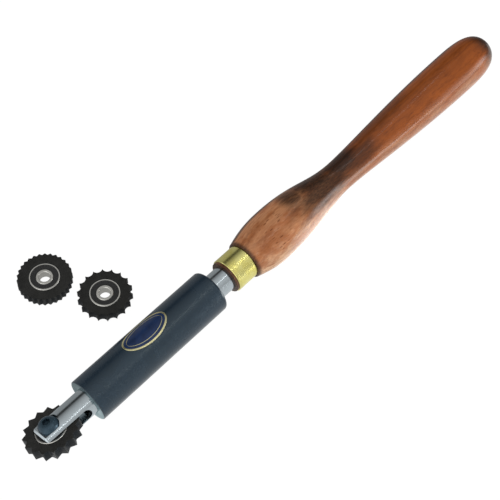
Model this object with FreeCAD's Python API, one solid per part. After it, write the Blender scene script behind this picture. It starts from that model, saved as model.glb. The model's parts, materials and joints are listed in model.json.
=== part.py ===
import FreeCAD, Part
import math
import os

os.makedirs("parts", exist_ok=True)

# Woodturner's spiralling tool: a toothed cutter on a sealed ball bearing spins in the forked end
# of a round steel bar, which carries a barrel for the tool rest and a turned handle.
# Two spare cutters lie beside it. All sizes are in millimetres.
#
# The tool is drawn along its own axis, +X from the cutter to the handle, with its origin at the
# centre of the mounted cutter and the cutter's plane at z = 0. It is then laid on the surface.

# Steel bar and its fork
bar_diameter = 19.05
tip_margin = 1.5
tip_rounding = 2.0
slot_gap_behind_cutter = 6.8
fork_web_length = 3.8
tang_depth = 72.0
tang_chamfer = 1.5

# Button head screw that is the cutter's axle
screw_head_diameter = 14.0
screw_head_height = 4.4
screw_crown_diameter = 7.6
screw_rim_height = 0.9
screw_rim_chamfer = 0.3
screw_dome_bulge = 0.6
hex_across_flats = 5.0
hex_depth = 2.6
shank_end_chamfer = 0.8
shank_clearance = 0.05
upper_hole_clearance = 0.2
spotface_depth = 2.5
spotface_clearance = 0.6

# Spacer washers beside the bearing
spacer_thickness = 0.5
spacer_margin = 0.25

# Barrel that slides along the tool rest
barrel_diameter = 31.75
barrel_length = 114.3
barrel_front_chamfer = 0.5
barrel_back_rounding = 2.2

# Brass ferrule and the tenon that it is pressed on
neck_length = 13.5
tenon_diameter = 24.6
tenon_reveal = 1.8
tenon_rounding = 0.5
ferrule_wall = 0.8
ferrule_length = 17.2
ferrule_chamfer = 0.4

# Turned handle: diameters and the distances between the places that have them
shoulder_step = 1.6
shoulder_rounding = 0.8
shoulder_to_belly = 34.0
belly_diameter = 39.2
belly_to_waist = 67.0
waist_diameter = 23.6
waist_to_bulb = 140.0
bulb_diameter = 35.4
bulb_to_end = 36.2
shoulder_slope_length = 10.0
shoulder_slope_rise = 3.0
belly_fullness_front = 15.0
belly_fullness_back = 33.0
waist_fullness_front = 24.5
waist_fullness_back = 24.0
bulb_fullness_front = 66.0
bulb_fullness_back = 27.5
end_fullness = 13.8

# Sealed ball bearing, the common 8 x 22 x 7 size
bearing_bore = 8.0
bearing_diameter = 22.0
bearing_width = 7.0
ball_diameter = 3.969
ball_count = 7
ball_clearance = 0.03
race_share = 0.293
seal_seat_step = 1.0
seal_seat_depth = 0.8
seal_recess = 0.2
seal_gap = 0.1
race_chamfer = 0.3
cage_thickness = 1.8
cage_finger_height = 0.9
cage_side_clearance = 0.1
pocket_clearance = 0.12

# Toothed cutters
cutter_diameter = 38.8
cutter_bore_chamfer = 0.4
pointed_teeth = 16
pointed_depth = 2.7
pointed_root_radius = 1.2
pointed_phase = 13.7
scalloped_teeth = 18
scalloped_depth = 2.3
scalloped_phase = 12.2
fine_teeth = 30
fine_depth = 1.25
fine_root_radius = 0.3
fine_phase = 0.0

# Where the pieces lie on the surface, measured from the point below the mounted cutter
tool_roll = -21.0
scalloped_place = (96.0, 56.0)
fine_place = (75.4, 95.4)

X_AXIS = FreeCAD.Vector(1, 0, 0)
Y_AXIS = FreeCAD.Vector(0, 1, 0)
Z_AXIS = FreeCAD.Vector(0, 0, 1)
ORIGIN = FreeCAD.Vector(0, 0, 0)

# Sizes that follow from the driving ones
bar_radius = bar_diameter / 2
tip_reach = screw_head_diameter / 2 + tip_margin
slot_height = bearing_width + 2 * spacer_thickness
slot_end = cutter_diameter / 2 + slot_gap_behind_cutter
seat_height = bar_radius - spotface_depth
shank_radius = bearing_bore / 2 - shank_clearance
barrel_start = slot_end + fork_web_length
barrel_end = barrel_start + barrel_length
tenon_start = barrel_end + neck_length
ferrule_start = tenon_start + tenon_reveal
shoulder_x = ferrule_start + ferrule_length
belly_x = shoulder_x + shoulder_to_belly
waist_x = belly_x + belly_to_waist
bulb_x = waist_x + waist_to_bulb
handle_end = bulb_x + bulb_to_end
tang_end = tenon_start + tang_depth
ferrule_radius = tenon_diameter / 2 + ferrule_wall
race_thickness = race_share * (bearing_diameter - bearing_bore) / 2
inner_land_radius = bearing_bore / 2 + race_thickness
outer_land_radius = bearing_diameter / 2 - race_thickness
seal_seat_radius = outer_land_radius + seal_seat_step
ball_circle_radius = (inner_land_radius + outer_land_radius) / 2
cage_inner_radius = ball_circle_radius - cage_thickness / 2
cage_outer_radius = ball_circle_radius + cage_thickness / 2
cutter_thickness = bearing_width


def point(x, y, z=0.0):
    return FreeCAD.Vector(x, y, z)


def polar(radius, degrees):
    angle = math.radians(degrees)
    return point(radius * math.cos(angle), radius * math.sin(angle))


def line(a, b):
    return Part.LineSegment(a, b).toShape()


def curve(a, pull_a, pull_b, b):
    bezier = Part.BezierCurve()
    bezier.setPoles([a, pull_a, pull_b, b])
    return bezier.toShape()


def polyline(corners):
    return [line(a, b) for a, b in zip(corners, corners[1:])]


def face_of(edges):
    return Part.Face(Part.Wire(edges))


def turned(edges, axis):
    """Solid of revolution of a closed outline about an axis through the origin."""
    return face_of(edges).revolve(ORIGIN, axis, 360)


def turned_section(corners, axis=X_AXIS):
    return turned(polyline(corners + corners[:1]), axis)


def ring(outer_radius, inner_radius, thickness, centre_z=0.0):
    """Flat ring about the Z axis, with its middle plane at centre_z."""
    bottom = point(0, 0, centre_z - thickness / 2)
    outer = Part.makeCylinder(outer_radius, thickness, bottom, Z_AXIS)
    return outer.cut(Part.makeCylinder(inner_radius, thickness, bottom, Z_AXIS))


# Steel bar


def bar_blank():
    """Round bar along X with a rounded tip and a chamfered tang end."""
    tip = point(-tip_reach, 0)
    round_start = point(-tip_reach, bar_radius - tip_rounding)
    round_end = point(-tip_reach + tip_rounding, bar_radius)
    round_centre = point(-tip_reach + tip_rounding, bar_radius - tip_rounding)
    round_middle = round_centre + polar(tip_rounding, 135)
    chamfer_start = point(tang_end - tang_chamfer, bar_radius)
    chamfer_end = point(tang_end, bar_radius - tang_chamfer)
    edges = [
        line(tip, round_start),
        Part.Arc(round_start, round_middle, round_end).toShape(),
        line(round_end, chamfer_start),
        line(chamfer_start, chamfer_end),
        line(chamfer_end, point(tang_end, 0)),
        line(point(tang_end, 0), tip),
    ]
    return turned(edges, X_AXIS)


def fork_slot():
    """Slot between the fork's arms, milled from the side, so that it ends in a half round."""
    half = slot_height / 2
    round_centre = slot_end - half
    side = bar_diameter
    straight_length = round_centre + 2 * tip_reach
    corner = point(-2 * tip_reach, -side / 2, -half)
    straight = Part.makeBox(straight_length, side, slot_height, corner)
    rounded = Part.makeCylinder(half, side, point(round_centre, -side / 2, 0), Y_AXIS)
    return straight.fuse(rounded)


def screw_seat():
    """Flat seat for the screw's head, round behind it and open at the tip."""
    radius = screw_head_diameter / 2 + spotface_clearance
    spotface = Part.makeCylinder(radius, bar_radius, point(0, 0, seat_height), Z_AXIS)
    corner = point(-2 * tip_reach, -radius, seat_height)
    return spotface.fuse(Part.makeBox(2 * tip_reach, 2 * radius, bar_radius, corner))


def make_fork_bar():
    upper_radius = bearing_bore / 2 + upper_hole_clearance
    upper_hole = Part.makeCylinder(upper_radius, bar_diameter, ORIGIN, Z_AXIS)
    lower_hole = Part.makeCylinder(bearing_bore / 2, bar_diameter, ORIGIN, -Z_AXIS)
    return bar_blank().cut([fork_slot(), screw_seat(), upper_hole, lower_hole])


# Axle screw and spacers


def hex_socket():
    """Hexagonal recess in the head, with the cone that a drill leaves at its bottom."""
    corner_radius = hex_across_flats / 2 / math.cos(math.radians(30))
    top = seat_height + screw_head_height
    floor = top - hex_depth
    corners = [polar(corner_radius, 60 * i) + point(0, 0, floor) for i in range(6)]
    prism = face_of(polyline(corners + corners[:1])).extrude(point(0, 0, hex_depth))
    flat_radius = hex_across_flats / 2
    cone = Part.makeCone(flat_radius, 0, flat_radius / 2, point(0, 0, floor), -Z_AXIS)
    return prism.fuse(cone)


def make_axle_screw():
    """Button head socket screw: its domed head seats on the upper arm, its end is in the lower."""
    head_radius = screw_head_diameter / 2
    bottom = -bar_radius
    shank_end = point(shank_radius - shank_end_chamfer, 0, bottom)
    shank_corner = point(shank_radius, 0, bottom + shank_end_chamfer)
    under_head = point(shank_radius, 0, seat_height)
    rim_low = point(head_radius - screw_rim_chamfer, 0, seat_height)
    rim_high = point(head_radius, 0, seat_height + screw_rim_height)
    crown = point(screw_crown_diameter / 2, 0, seat_height + screw_head_height)
    top = point(0, 0, seat_height + screw_head_height)
    chord = crown - rim_high
    outward = point(chord.z, 0, -chord.x).normalize()
    dome_middle = (rim_high + crown) * 0.5 + outward * screw_dome_bulge
    edges = polyline([point(0, 0, bottom), shank_end, shank_corner, under_head, rim_low, rim_high])
    edges.append(Part.Arc(rim_high, dome_middle, crown).toShape())
    edges += polyline([crown, top, point(0, 0, bottom)])
    return turned(edges, Z_AXIS).cut(hex_socket())


def make_spacer_washers():
    """Two thin washers that hold the bearing's inner race clear of the arms."""
    centre = (bearing_width + spacer_thickness) / 2
    inner_radius = shank_radius + 2 * shank_clearance
    outer_radius = inner_land_radius - spacer_margin
    washers = [ring(outer_radius, inner_radius, spacer_thickness, z) for z in (-centre, centre)]
    return Part.makeCompound(washers)


# Barrel, ferrule and handle


def make_barrel_sleeve():
    """Thick tube bonded on the bar, with a crisp machined front and a rounded back edge."""
    radius = barrel_diameter / 2
    front = barrel_start + barrel_front_chamfer
    back = barrel_end - barrel_back_rounding
    round_start = point(back, radius)
    round_end = point(barrel_end, radius - barrel_back_rounding)
    round_middle = point(back, radius - barrel_back_rounding) + polar(barrel_back_rounding, 45)
    edges = [
        line(point(barrel_start, bar_radius), point(barrel_start, radius - barrel_front_chamfer)),
        line(point(barrel_start, radius - barrel_front_chamfer), point(front, radius)),
        line(point(front, radius), round_start),
        Part.Arc(round_start, round_middle, round_end).toShape(),
        line(round_end, point(barrel_end, bar_radius)),
        line(point(barrel_end, bar_radius), point(barrel_start, bar_radius)),
    ]
    return turned(edges, X_AXIS)


def make_ferrule():
    inner = tenon_diameter / 2
    corners = [
        point(ferrule_start, inner),
        point(ferrule_start, ferrule_radius - ferrule_chamfer),
        point(ferrule_start + ferrule_chamfer, ferrule_radius),
        point(shoulder_x, ferrule_radius),
        point(shoulder_x, inner),
    ]
    return turned_section(corners)


def handle_profile():
    """Upper half of the handle's outline: tenon, shoulder, belly, waist, swelling and round end."""
    tenon = tenon_diameter / 2
    shoulder = ferrule_radius + shoulder_step
    belly = belly_diameter / 2
    waist = waist_diameter / 2
    bulb = bulb_diameter / 2
    reveal_start = point(tenon_start, tenon - tenon_rounding)
    reveal_end = point(tenon_start + tenon_rounding, tenon)
    reveal_middle = point(tenon_start + tenon_rounding, tenon - tenon_rounding) + polar(tenon_rounding, 135)
    shoulder_low = point(shoulder_x, shoulder - shoulder_rounding)
    shoulder_high = point(shoulder_x + shoulder_rounding, shoulder)
    shoulder_centre = point(shoulder_x + shoulder_rounding, shoulder - shoulder_rounding)
    shoulder_middle = shoulder_centre + polar(shoulder_rounding, 135)
    slope_pull = shoulder_high + point(shoulder_slope_length, shoulder_slope_rise)
    belly_top = point(belly_x, belly)
    waist_top = point(waist_x, waist)
    bulb_top = point(bulb_x, bulb)
    end = point(handle_end, 0)
    return [
        line(point(tenon_start, bar_radius), reveal_start),
        Part.Arc(reveal_start, reveal_middle, reveal_end).toShape(),
        line(reveal_end, point(shoulder_x, tenon)),
        line(point(shoulder_x, tenon), shoulder_low),
        Part.Arc(shoulder_low, shoulder_middle, shoulder_high).toShape(),
        curve(shoulder_high, slope_pull, belly_top - point(belly_fullness_front, 0), belly_top),
        curve(belly_top, belly_top + point(belly_fullness_back, 0),
              waist_top - point(waist_fullness_front, 0), waist_top),
        curve(waist_top, waist_top + point(waist_fullness_back, 0),
              bulb_top - point(bulb_fullness_front, 0), bulb_top),
        curve(bulb_top, bulb_top + point(bulb_fullness_back, 0), end + point(0, end_fullness), end),
    ]


def make_handle():
    """Turned handle with the blind hole that the bar's tang is bonded into."""
    tang_hole = [
        point(handle_end, 0),
        point(tang_end, 0),
        point(tang_end, bar_radius),
        point(tenon_start, bar_radius),
    ]
    return turned(handle_profile() + polyline(tang_hole), X_AXIS)


# Ball bearing, drawn about the Z axis


def groove_section():
    """Torus that the balls' grooves are cut with in both races."""
    groove_radius = ball_diameter / 2 + ball_clearance
    return Part.makeTorus(ball_circle_radius, groove_radius)


def make_outer_race():
    half = bearing_width / 2
    outer = bearing_diameter / 2
    land = outer_land_radius
    seat = seal_seat_radius
    step = half - seal_seat_depth
    corners = [
        point(outer - race_chamfer, 0, half),
        point(outer, 0, half - race_chamfer),
        point(outer, 0, race_chamfer - half),
        point(outer - race_chamfer, 0, -half),
        point(seat, 0, -half),
        point(seat, 0, -step),
        point(land, 0, -step),
        point(land, 0, step),
        point(seat, 0, step),
        point(seat, 0, half),
    ]
    return turned_section(corners, Z_AXIS).cut(groove_section())


def make_inner_race():
    half = bearing_width / 2
    land = inner_land_radius
    bore = bearing_bore / 2
    corners = [
        point(bore + race_chamfer, 0, half),
        point(land - race_chamfer, 0, half),
        point(land, 0, half - race_chamfer),
        point(land, 0, race_chamfer - half),
        point(land - race_chamfer, 0, -half),
        point(bore + race_chamfer, 0, -half),
        point(bore, 0, race_chamfer - half),
        point(bore, 0, half - race_chamfer),
    ]
    return turned_section(corners, Z_AXIS).cut(groove_section())


def ball_places():
    spacing = 360 / ball_count
    return [polar(ball_circle_radius, spacing * i) for i in range(ball_count)]


def make_balls():
    return Part.makeCompound([Part.makeSphere(ball_diameter / 2, place) for place in ball_places()])


def make_cage():
    """Crown cage: a ring under the balls with fingers that reach up between them."""
    bottom = cage_side_clearance + seal_seat_depth - bearing_width / 2
    height = cage_finger_height - bottom
    blank = ring(cage_outer_radius, cage_inner_radius, height, bottom + height / 2)
    pocket_radius = ball_diameter / 2 + pocket_clearance
    pockets = []
    for place in ball_places():
        outward = FreeCAD.Vector(place).normalize()
        pockets.append(Part.makeCylinder(pocket_radius, bearing_diameter / 2, ORIGIN, outward))
    return blank.cut(pockets)


def make_seals():
    """Rubber seal discs in both mouths of the bearing, seated in the outer race."""
    thickness = seal_seat_depth - seal_recess
    inner = inner_land_radius + seal_gap
    centre = bearing_width / 2 - seal_recess - thickness / 2
    return Part.makeCompound([ring(seal_seat_radius, inner, thickness, z) for z in (-centre, centre)])


# Toothed cutter rings, drawn about the Z axis


def tangent_point(tip, centre, radius):
    """Point where a flank from the tooth's tip touches the root circle, on the wheel's side."""
    to_centre = centre - tip
    distance = to_centre.Length
    swing = math.degrees(math.asin(radius / distance))
    reach = math.sqrt(distance ** 2 - radius ** 2)
    touches = []
    for turn in (swing, -swing):
        direction = FreeCAD.Rotation(Z_AXIS, turn).multVec(to_centre)
        touches.append(tip + direction * (reach / distance))
    return min(touches, key=lambda touch: touch.Length)


def straight_gullet(start, pitch, depth, root_radius):
    """Two straight flanks and a rounded root between one tooth's tip and the next."""
    tip_radius = cutter_diameter / 2
    first = polar(tip_radius, start)
    second = polar(tip_radius, start + pitch)
    middle = start + pitch / 2
    centre = polar(tip_radius - depth + root_radius, middle)
    touch_first = tangent_point(first, centre, root_radius)
    touch_second = tangent_point(second, centre, root_radius)
    bottom = polar(tip_radius - depth, middle)
    return [
        line(first, touch_first),
        Part.Arc(touch_first, bottom, touch_second).toShape(),
        line(touch_second, second),
    ]


def round_gullet(start, pitch, depth):
    """One arc between a tooth's tip and the next."""
    tip_radius = cutter_diameter / 2
    bottom = polar(tip_radius - depth, start + pitch / 2)
    return [Part.Arc(polar(tip_radius, start), bottom, polar(tip_radius, start + pitch)).toShape()]


def make_cutter_ring(teeth, phase, gullet, *gullet_sizes):
    """Toothed ring with a chamfered bore that fits the bearing's outside."""
    pitch = 360 / teeth
    edges = []
    for i in range(teeth):
        edges += gullet(phase + pitch * i, pitch, *gullet_sizes)
    half = cutter_thickness / 2
    blank = face_of(edges).extrude(point(0, 0, cutter_thickness))
    blank.translate(point(0, 0, -half))
    bore = bearing_diameter / 2
    mouth = bore + cutter_bore_chamfer
    corners = [
        point(0, 0, -half),
        point(mouth, 0, -half),
        point(bore, 0, cutter_bore_chamfer - half),
        point(bore, 0, half - cutter_bore_chamfer),
        point(mouth, 0, half),
        point(0, 0, half),
    ]
    return blank.cut(turned_section(corners, Z_AXIS))


def make_cutter(name, cutter_ring):
    """The six pieces of one cutter with its bearing, named after the cutter."""
    return {
        name: cutter_ring,
        name + "_outer_race": make_outer_race(),
        name + "_inner_race": make_inner_race(),
        name + "_balls": make_balls(),
        name + "_cage": make_cage(),
        name + "_seals": make_seals(),
    }


# Laying the pieces on the surface


def resting_tilt():
    """Angle at which the barrel's front edge and the handle's belly touch the surface."""
    rise = (belly_diameter - barrel_diameter) / 2
    run = belly_x - barrel_start - barrel_front_chamfer
    return math.degrees(math.atan2(rise, run))


def tool_placement(pieces):
    """Turn of the whole tool on the surface, lifted until it just touches it."""
    turn = FreeCAD.Rotation(Y_AXIS, -resting_tilt()).multiply(FreeCAD.Rotation(X_AXIS, tool_roll))
    placement = FreeCAD.Placement(ORIGIN, turn)
    laid = Part.makeCompound(pieces).transformed(placement.toMatrix())
    placement.Base = point(0, 0, -laid.optimalBoundingBox(False).ZMin)
    return placement


def placed(pieces, placement):
    return {name: shape.transformed(placement.toMatrix()) for name, shape in pieces.items()}


def build():
    """All pieces in their places, with the origin below the middle of the whole."""
    handle = make_handle()
    barrel = make_barrel_sleeve()
    tool = {
        "fork_bar": make_fork_bar(),
        "barrel_sleeve": barrel,
        "ferrule": make_ferrule(),
        "handle": handle,
        "axle_screw": make_axle_screw(),
        "spacer_washers": make_spacer_washers(),
    }
    pointed_ring = make_cutter_ring(
        pointed_teeth, pointed_phase, straight_gullet, pointed_depth, pointed_root_radius)
    scalloped_ring = make_cutter_ring(scalloped_teeth, scalloped_phase, round_gullet, scalloped_depth)
    fine_ring = make_cutter_ring(fine_teeth, fine_phase, straight_gullet, fine_depth, fine_root_radius)
    tool.update(make_cutter("pointed_cutter", pointed_ring))
    pieces = placed(tool, tool_placement([barrel, handle]))
    for name, cutter_ring, place in (
            ("scalloped_cutter", scalloped_ring, scalloped_place),
            ("fine_cutter", fine_ring, fine_place)):
        flat = FreeCAD.Placement(point(place[0], place[1], cutter_thickness / 2), FreeCAD.Rotation())
        pieces.update(placed(make_cutter(name, cutter_ring), flat))
    box = Part.makeCompound(list(pieces.values())).optimalBoundingBox(False)
    middle = FreeCAD.Placement(point(-box.Center.x, -box.Center.y), FreeCAD.Rotation())
    return placed(pieces, middle)


for node, shape in build().items():
    shape.exportStep("parts/" + node + ".step")
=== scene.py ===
import json
import math

import bpy
from bpy.props import FloatProperty, FloatVectorProperty, IntProperty, PointerProperty
from mathutils import Matrix, Vector


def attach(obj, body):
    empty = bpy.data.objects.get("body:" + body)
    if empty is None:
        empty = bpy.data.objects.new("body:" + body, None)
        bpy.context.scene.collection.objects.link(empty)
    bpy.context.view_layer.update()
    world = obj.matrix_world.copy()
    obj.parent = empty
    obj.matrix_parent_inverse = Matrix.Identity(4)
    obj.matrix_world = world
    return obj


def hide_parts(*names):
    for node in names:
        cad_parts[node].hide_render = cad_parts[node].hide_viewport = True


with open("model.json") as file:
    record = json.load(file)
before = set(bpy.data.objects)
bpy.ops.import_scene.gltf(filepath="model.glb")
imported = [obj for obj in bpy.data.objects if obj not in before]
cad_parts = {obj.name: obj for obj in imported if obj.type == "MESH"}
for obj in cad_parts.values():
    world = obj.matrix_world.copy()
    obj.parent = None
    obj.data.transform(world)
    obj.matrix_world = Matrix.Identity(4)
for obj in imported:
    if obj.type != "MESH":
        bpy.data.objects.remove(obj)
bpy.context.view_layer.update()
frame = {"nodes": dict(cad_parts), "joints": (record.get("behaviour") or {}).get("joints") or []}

bl_info = {
    "name": "Woodturning Spiralling Tool",
    "version": (1, 0, 0),
    "blender": (4, 5, 0),
    "location": "View3D > Sidebar > Spiralling Tool",
    "description": "Builds the finished pieces of a spiralling tool around its CAD frame",
    "category": "Object",
}

MM = 0.001
MERGE_DISTANCE = 0.001 * MM
FLOOR_DROP = 0.05 * MM
CUTTERS = ("pointed", "scalloped", "fine")

# Levels that glossy rays meet, by degrees round the tool from the top towards the camera's side
ROOM_LEVELS = (
    (-178, 0.5), (-100, 0.4), (-75, 0.37), (-67, 0.36), (-59, 0.05), (-49, 0.05), (-41, 0.3), (-22, 0.56),
    (8, 0.78), (36, 0.76), (60, 0.6), (82, 0.68), (99, 0.84), (144, 0.9),
)

# Share of level that is added where glossy rays leave past the tool's tip, by their X
TIP_SIDE = (-0.4, -0.75)
TIP_SIDE_LEVEL = 0.6

# Bright pool on the floor beside the handle, in metres from the axle: it begins and ends along the
# tool, on lines that lean with the distance beside it
POOL_LEAN = 0.45
POOL_BEGIN = (0.18, 0.225)
POOL_END = (0.27, 0.225)
POOL_BEYOND = 0.12
POOL_SIDE = (0.02, 0.0)

# The pool's far part, low in the room, by the parts of a glossy ray's direction
LOW_SIDE = (-0.5, -0.68)
LOW_HEIGHT = (0.45, 0.08)
LOW_BELLY = (0.5, 0.55)
LOW_BELLY_SHARE = 0.4
LOW_WAIST = (0.61, 0.66)
LOW_WAIST_SHARE = 0.6
FAR_END = (0.42, 0.62)
FAR_END_LEVEL = 0.5

# Softboxes: name, place, size, power and whether glossy rays meet them
SOFTBOXES = (
    ("key_softbox", (0.4, -1.3, 0.4), (1.2, 0.6), 16.0, False),
    ("top_softbox", (-0.1, -0.15, 1.4), (1.2, 0.35), 3.5, False),
    ("back_softbox", (-0.3, 1.2, 0.8), (1.0, 0.5), 7.0, False),
    ("glint_strip", (0.25, -0.25, 0.86), (1.4, 0.012), 0.38, True),
)

# Dark reflections that run along the ferrule, in radians round it, with their half width
BRASS_BANDS = (0.25, 1.22)
BRASS_BAND_EDGE = (0.2, 0.04)

# Patches on the handle: millimetres from the axle, degrees from the axle's top towards the front,
# reach along and round in the same units, raggedness and depth
GIRTH_RADIUS = 17.0
SCORCH_PATCHES = (
    (230, 0, 15, 54, 0.5, 0.9),
    (253, -12, 34, 112, 0.5, 1.0),
    (280, 2, 32, 100, 0.6, 1.0),
    (258, 44, 52, 66, 0.7, 0.93),
    (288, 40, 40, 60, 0.9, 0.75),
    (322, -14, 60, 50, 1.2, 0.45),
    (453, 40, 23, 170, 0.5, 1.0),
)
FLECK_ZONES = (
    (203, 22, 12, 34, 0.5, 1.0),
    (203, 66, 12, 34, 0.5, 1.0),
)

X_AXIS = Vector((1, 0, 0))
Y_AXIS = Vector((0, 1, 0))
Z_AXIS = Vector((0, 0, 1))


# Where the pieces stand, read from the frame's joints


def joint(name):
    return next(row for row in frame["joints"] if row["name"] == name)


def tool_place():
    """The tool's own frame: X along the bar, Z along the axle, origin in the mounted cutter."""
    spin = joint("pointed_cutter_spin")
    axle = Vector(spin["axis"]).normalized()
    along = Vector((axle.z, 0, -axle.x)).normalized()
    across = axle.cross(along)
    turn = Matrix((along, across, axle)).transposed().to_4x4()
    return Matrix.Translation(Vector(spin["pos_m"])) @ turn


def cutter_place(kind):
    if kind == "pointed":
        return tool_place()
    return Matrix.Translation(Vector(joint(kind + "_inner_spin")["pos_m"]))


def inner_body(kind):
    return "tool" if kind == "pointed" else kind + "_inner"


# Sizes and colours that a user would change


def length(label, description, millimetres):
    return FloatProperty(
        name=label, description=description, default=millimetres * MM, min=0.0,
        precision=5, unit="LENGTH")


def angle(label, description, degrees):
    return FloatProperty(
        name=label, description=description, default=math.radians(degrees), subtype="ANGLE")


def colour(label, description, *levels):
    return FloatVectorProperty(
        name=label, description=description, default=levels, size=3, min=0.0, max=1.0,
        subtype="COLOR")


def number(label, description, value):
    return FloatProperty(name=label, description=description, default=value, min=0.0)


def count(label, description, value):
    return IntProperty(name=label, description=description, default=value, min=3)


class BarSizes(bpy.types.PropertyGroup):
    diameter: length("Diameter", "Diameter of the round steel bar", 19.05)
    tip_reach: length("Tip Reach", "From the axle to the fork's tip", 8.5)
    tip_rounding: length("Tip Rounding", "Rounding of the fork's tip", 2.0)
    tip_bevel: length("Tip Bevel", "Filed corner between the fork's end and its flats", 1.2)
    slot_height: length("Slot Height", "Gap between the fork's arms", 8.0)
    slot_end: length("Slot End", "From the axle to the end of the slot", 26.2)
    seat_height: length("Seat Height", "Height of the screw's seat over the cutter's middle", 7.025)
    seat_radius: length("Seat Radius", "Radius of the milled seat under the screw's head", 7.6)
    upper_hole: length("Upper Hole", "Radius of the hole in the upper arm", 4.2)
    lower_hole: length("Lower Hole", "Radius of the threaded hole in the lower arm", 4.0)
    end: length("Tang End", "From the axle to the hidden end of the tang", 229.8)
    end_chamfer: length("Tang Chamfer", "Chamfer of the tang's end", 1.5)
    edge: length("Edge", "Width of the broken edges", 0.16)


class ScrewSizes(bpy.types.PropertyGroup):
    head_diameter: length("Head Diameter", "Diameter of the button head", 14.0)
    head_height: length("Head Height", "Height of the button head", 4.4)
    crown_diameter: length("Crown Diameter", "Flat top of the dome", 7.6)
    rim_height: length("Rim Height", "Straight rim under the dome", 0.9)
    rim_chamfer: length("Rim Chamfer", "Chamfer under the rim", 0.3)
    dome_bulge: length("Dome Bulge", "How far the dome stands proud of a cone", 0.6)
    hex_size: length("Hex Size", "Hexagonal socket across its flats", 5.0)
    hex_depth: length("Hex Depth", "Depth of the socket", 2.6)
    shank_radius: length("Shank Radius", "Radius of the plain shank", 3.95)
    thread_root: length("Thread Root", "Radius at the bottom of the thread", 3.33)
    thread_pitch: length("Thread Pitch", "Rise of the thread in one turn", 1.25)
    thread_length: length("Thread Length", "Threaded end of the shank", 6.0)
    end_chamfer: length("End Chamfer", "Chamfer of the shank's end", 0.8)


class BarrelSizes(bpy.types.PropertyGroup):
    diameter: length("Diameter", "Outside of the barrel that rides on the tool rest", 31.75)
    start: length("Start", "From the axle to the barrel's front face", 30.0)
    length: length("Length", "Length of the barrel", 114.3)
    front_chamfer: length("Front Chamfer", "Crisp chamfer at the front", 0.5)
    back_rounding: length("Back Rounding", "Rounded edge towards the handle", 2.2)


class FerruleSizes(bpy.types.PropertyGroup):
    start: length("Start", "From the axle to the ferrule's front", 159.6)
    length: length("Length", "Length of the ferrule", 17.2)
    inner_radius: length("Inner Radius", "Radius of the tenon inside", 12.3)
    wall: length("Wall", "Wall of the ferrule", 0.8)
    chamfer: length("Chamfer", "Chamfer at the front", 0.4)
    line_depth: length("Line Depth", "Depth of the turned lines near the front", 0.07)
    line_spacing: length("Line Spacing", "Distance between the turned lines", 0.75)


class HandleSizes(bpy.types.PropertyGroup):
    tenon_start: length("Tenon Start", "From the axle to the tenon's end", 157.8)
    tenon_rounding: length("Tenon Rounding", "Rounded edge of the tenon", 0.5)
    shoulder_step: length("Shoulder Step", "How far the wood stands over the ferrule", 1.6)
    shoulder_rounding: length("Shoulder Rounding", "Rounded edge at the ferrule", 0.8)
    belly_at: length("Belly At", "From the axle to the belly", 210.8)
    belly_diameter: length("Belly Diameter", "Thickest place of the handle", 39.2)
    waist_at: length("Waist At", "From the axle to the waist", 277.8)
    waist_diameter: length("Waist Diameter", "Thinnest place of the handle", 23.6)
    bulb_at: length("Bulb At", "From the axle to the swelling near the end", 417.8)
    bulb_diameter: length("Bulb Diameter", "Diameter of the swelling", 35.4)
    end: length("End", "From the axle to the handle's end", 454.0)
    slope_length: length("Slope Length", "Pull of the curve behind the ferrule, along the handle", 10.0)
    slope_rise: length("Slope Rise", "Pull of the curve behind the ferrule, outwards", 3.0)
    belly_front: length("Belly Front", "Fullness in front of the belly", 15.0)
    belly_back: length("Belly Back", "Fullness behind the belly", 33.0)
    waist_front: length("Waist Front", "Fullness in front of the waist", 24.5)
    waist_back: length("Waist Back", "Fullness behind the waist", 24.0)
    bulb_front: length("Bulb Front", "Fullness in front of the swelling", 66.0)
    bulb_back: length("Bulb Back", "Fullness behind the swelling", 27.5)
    end_fullness: length("End Fullness", "Fullness of the round end", 13.8)


class BearingSizes(bpy.types.PropertyGroup):
    bore: length("Bore", "Bore of the ball bearing", 8.0)
    diameter: length("Diameter", "Outside of the ball bearing", 22.0)
    width: length("Width", "Width of the ball bearing", 7.0)
    race: length("Race", "Thickness of both races at their lands", 2.051)
    seat_step: length("Seat Step", "Step in the outer race that holds the seal", 1.0)
    seat_depth: length("Seat Depth", "Depth of that step", 0.8)
    chamfer: length("Chamfer", "Chamfer of the races", 0.3)
    ball_diameter: length("Ball Diameter", "Diameter of the balls", 3.969)
    ball_clearance: length("Ball Clearance", "Gap between balls and grooves", 0.03)
    seal_gap: length("Seal Gap", "Gap between the seal's lip and the inner race", 0.1)
    seal_recess: length("Seal Recess", "How far the seal lies below the race's face", 0.2)


class CutterSizes(bpy.types.PropertyGroup):
    diameter: length("Diameter", "Diameter over the teeth", 38.8)
    bore_chamfer: length("Bore Chamfer", "Chamfer round the bearing", 0.4)
    pointed_teeth: count("Pointed Teeth", "Teeth of the mounted cutter", 16)
    pointed_depth: length("Pointed Depth", "Depth of its gullets", 2.7)
    pointed_root: length("Pointed Root", "Radius at the bottom of its gullets", 1.2)
    pointed_phase: angle("Pointed Phase", "Place of its first tooth", 13.7)
    scalloped_teeth: count("Scalloped Teeth", "Teeth of the cutter with round gullets", 18)
    scalloped_depth: length("Scalloped Depth", "Depth of the round gullets", 2.3)
    scalloped_phase: angle("Scalloped Phase", "Place of its first tooth", 12.2)
    fine_teeth: count("Fine Teeth", "Teeth of the finest cutter", 30)
    fine_depth: length("Fine Depth", "Depth of its gullets", 1.25)
    fine_root: length("Fine Root", "Radius at the bottom of its gullets", 0.3)
    fine_phase: angle("Fine Phase", "Place of its first tooth", 0.0)
    edge: length("Edge", "Width of the broken edges of the teeth", 0.1)


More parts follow.
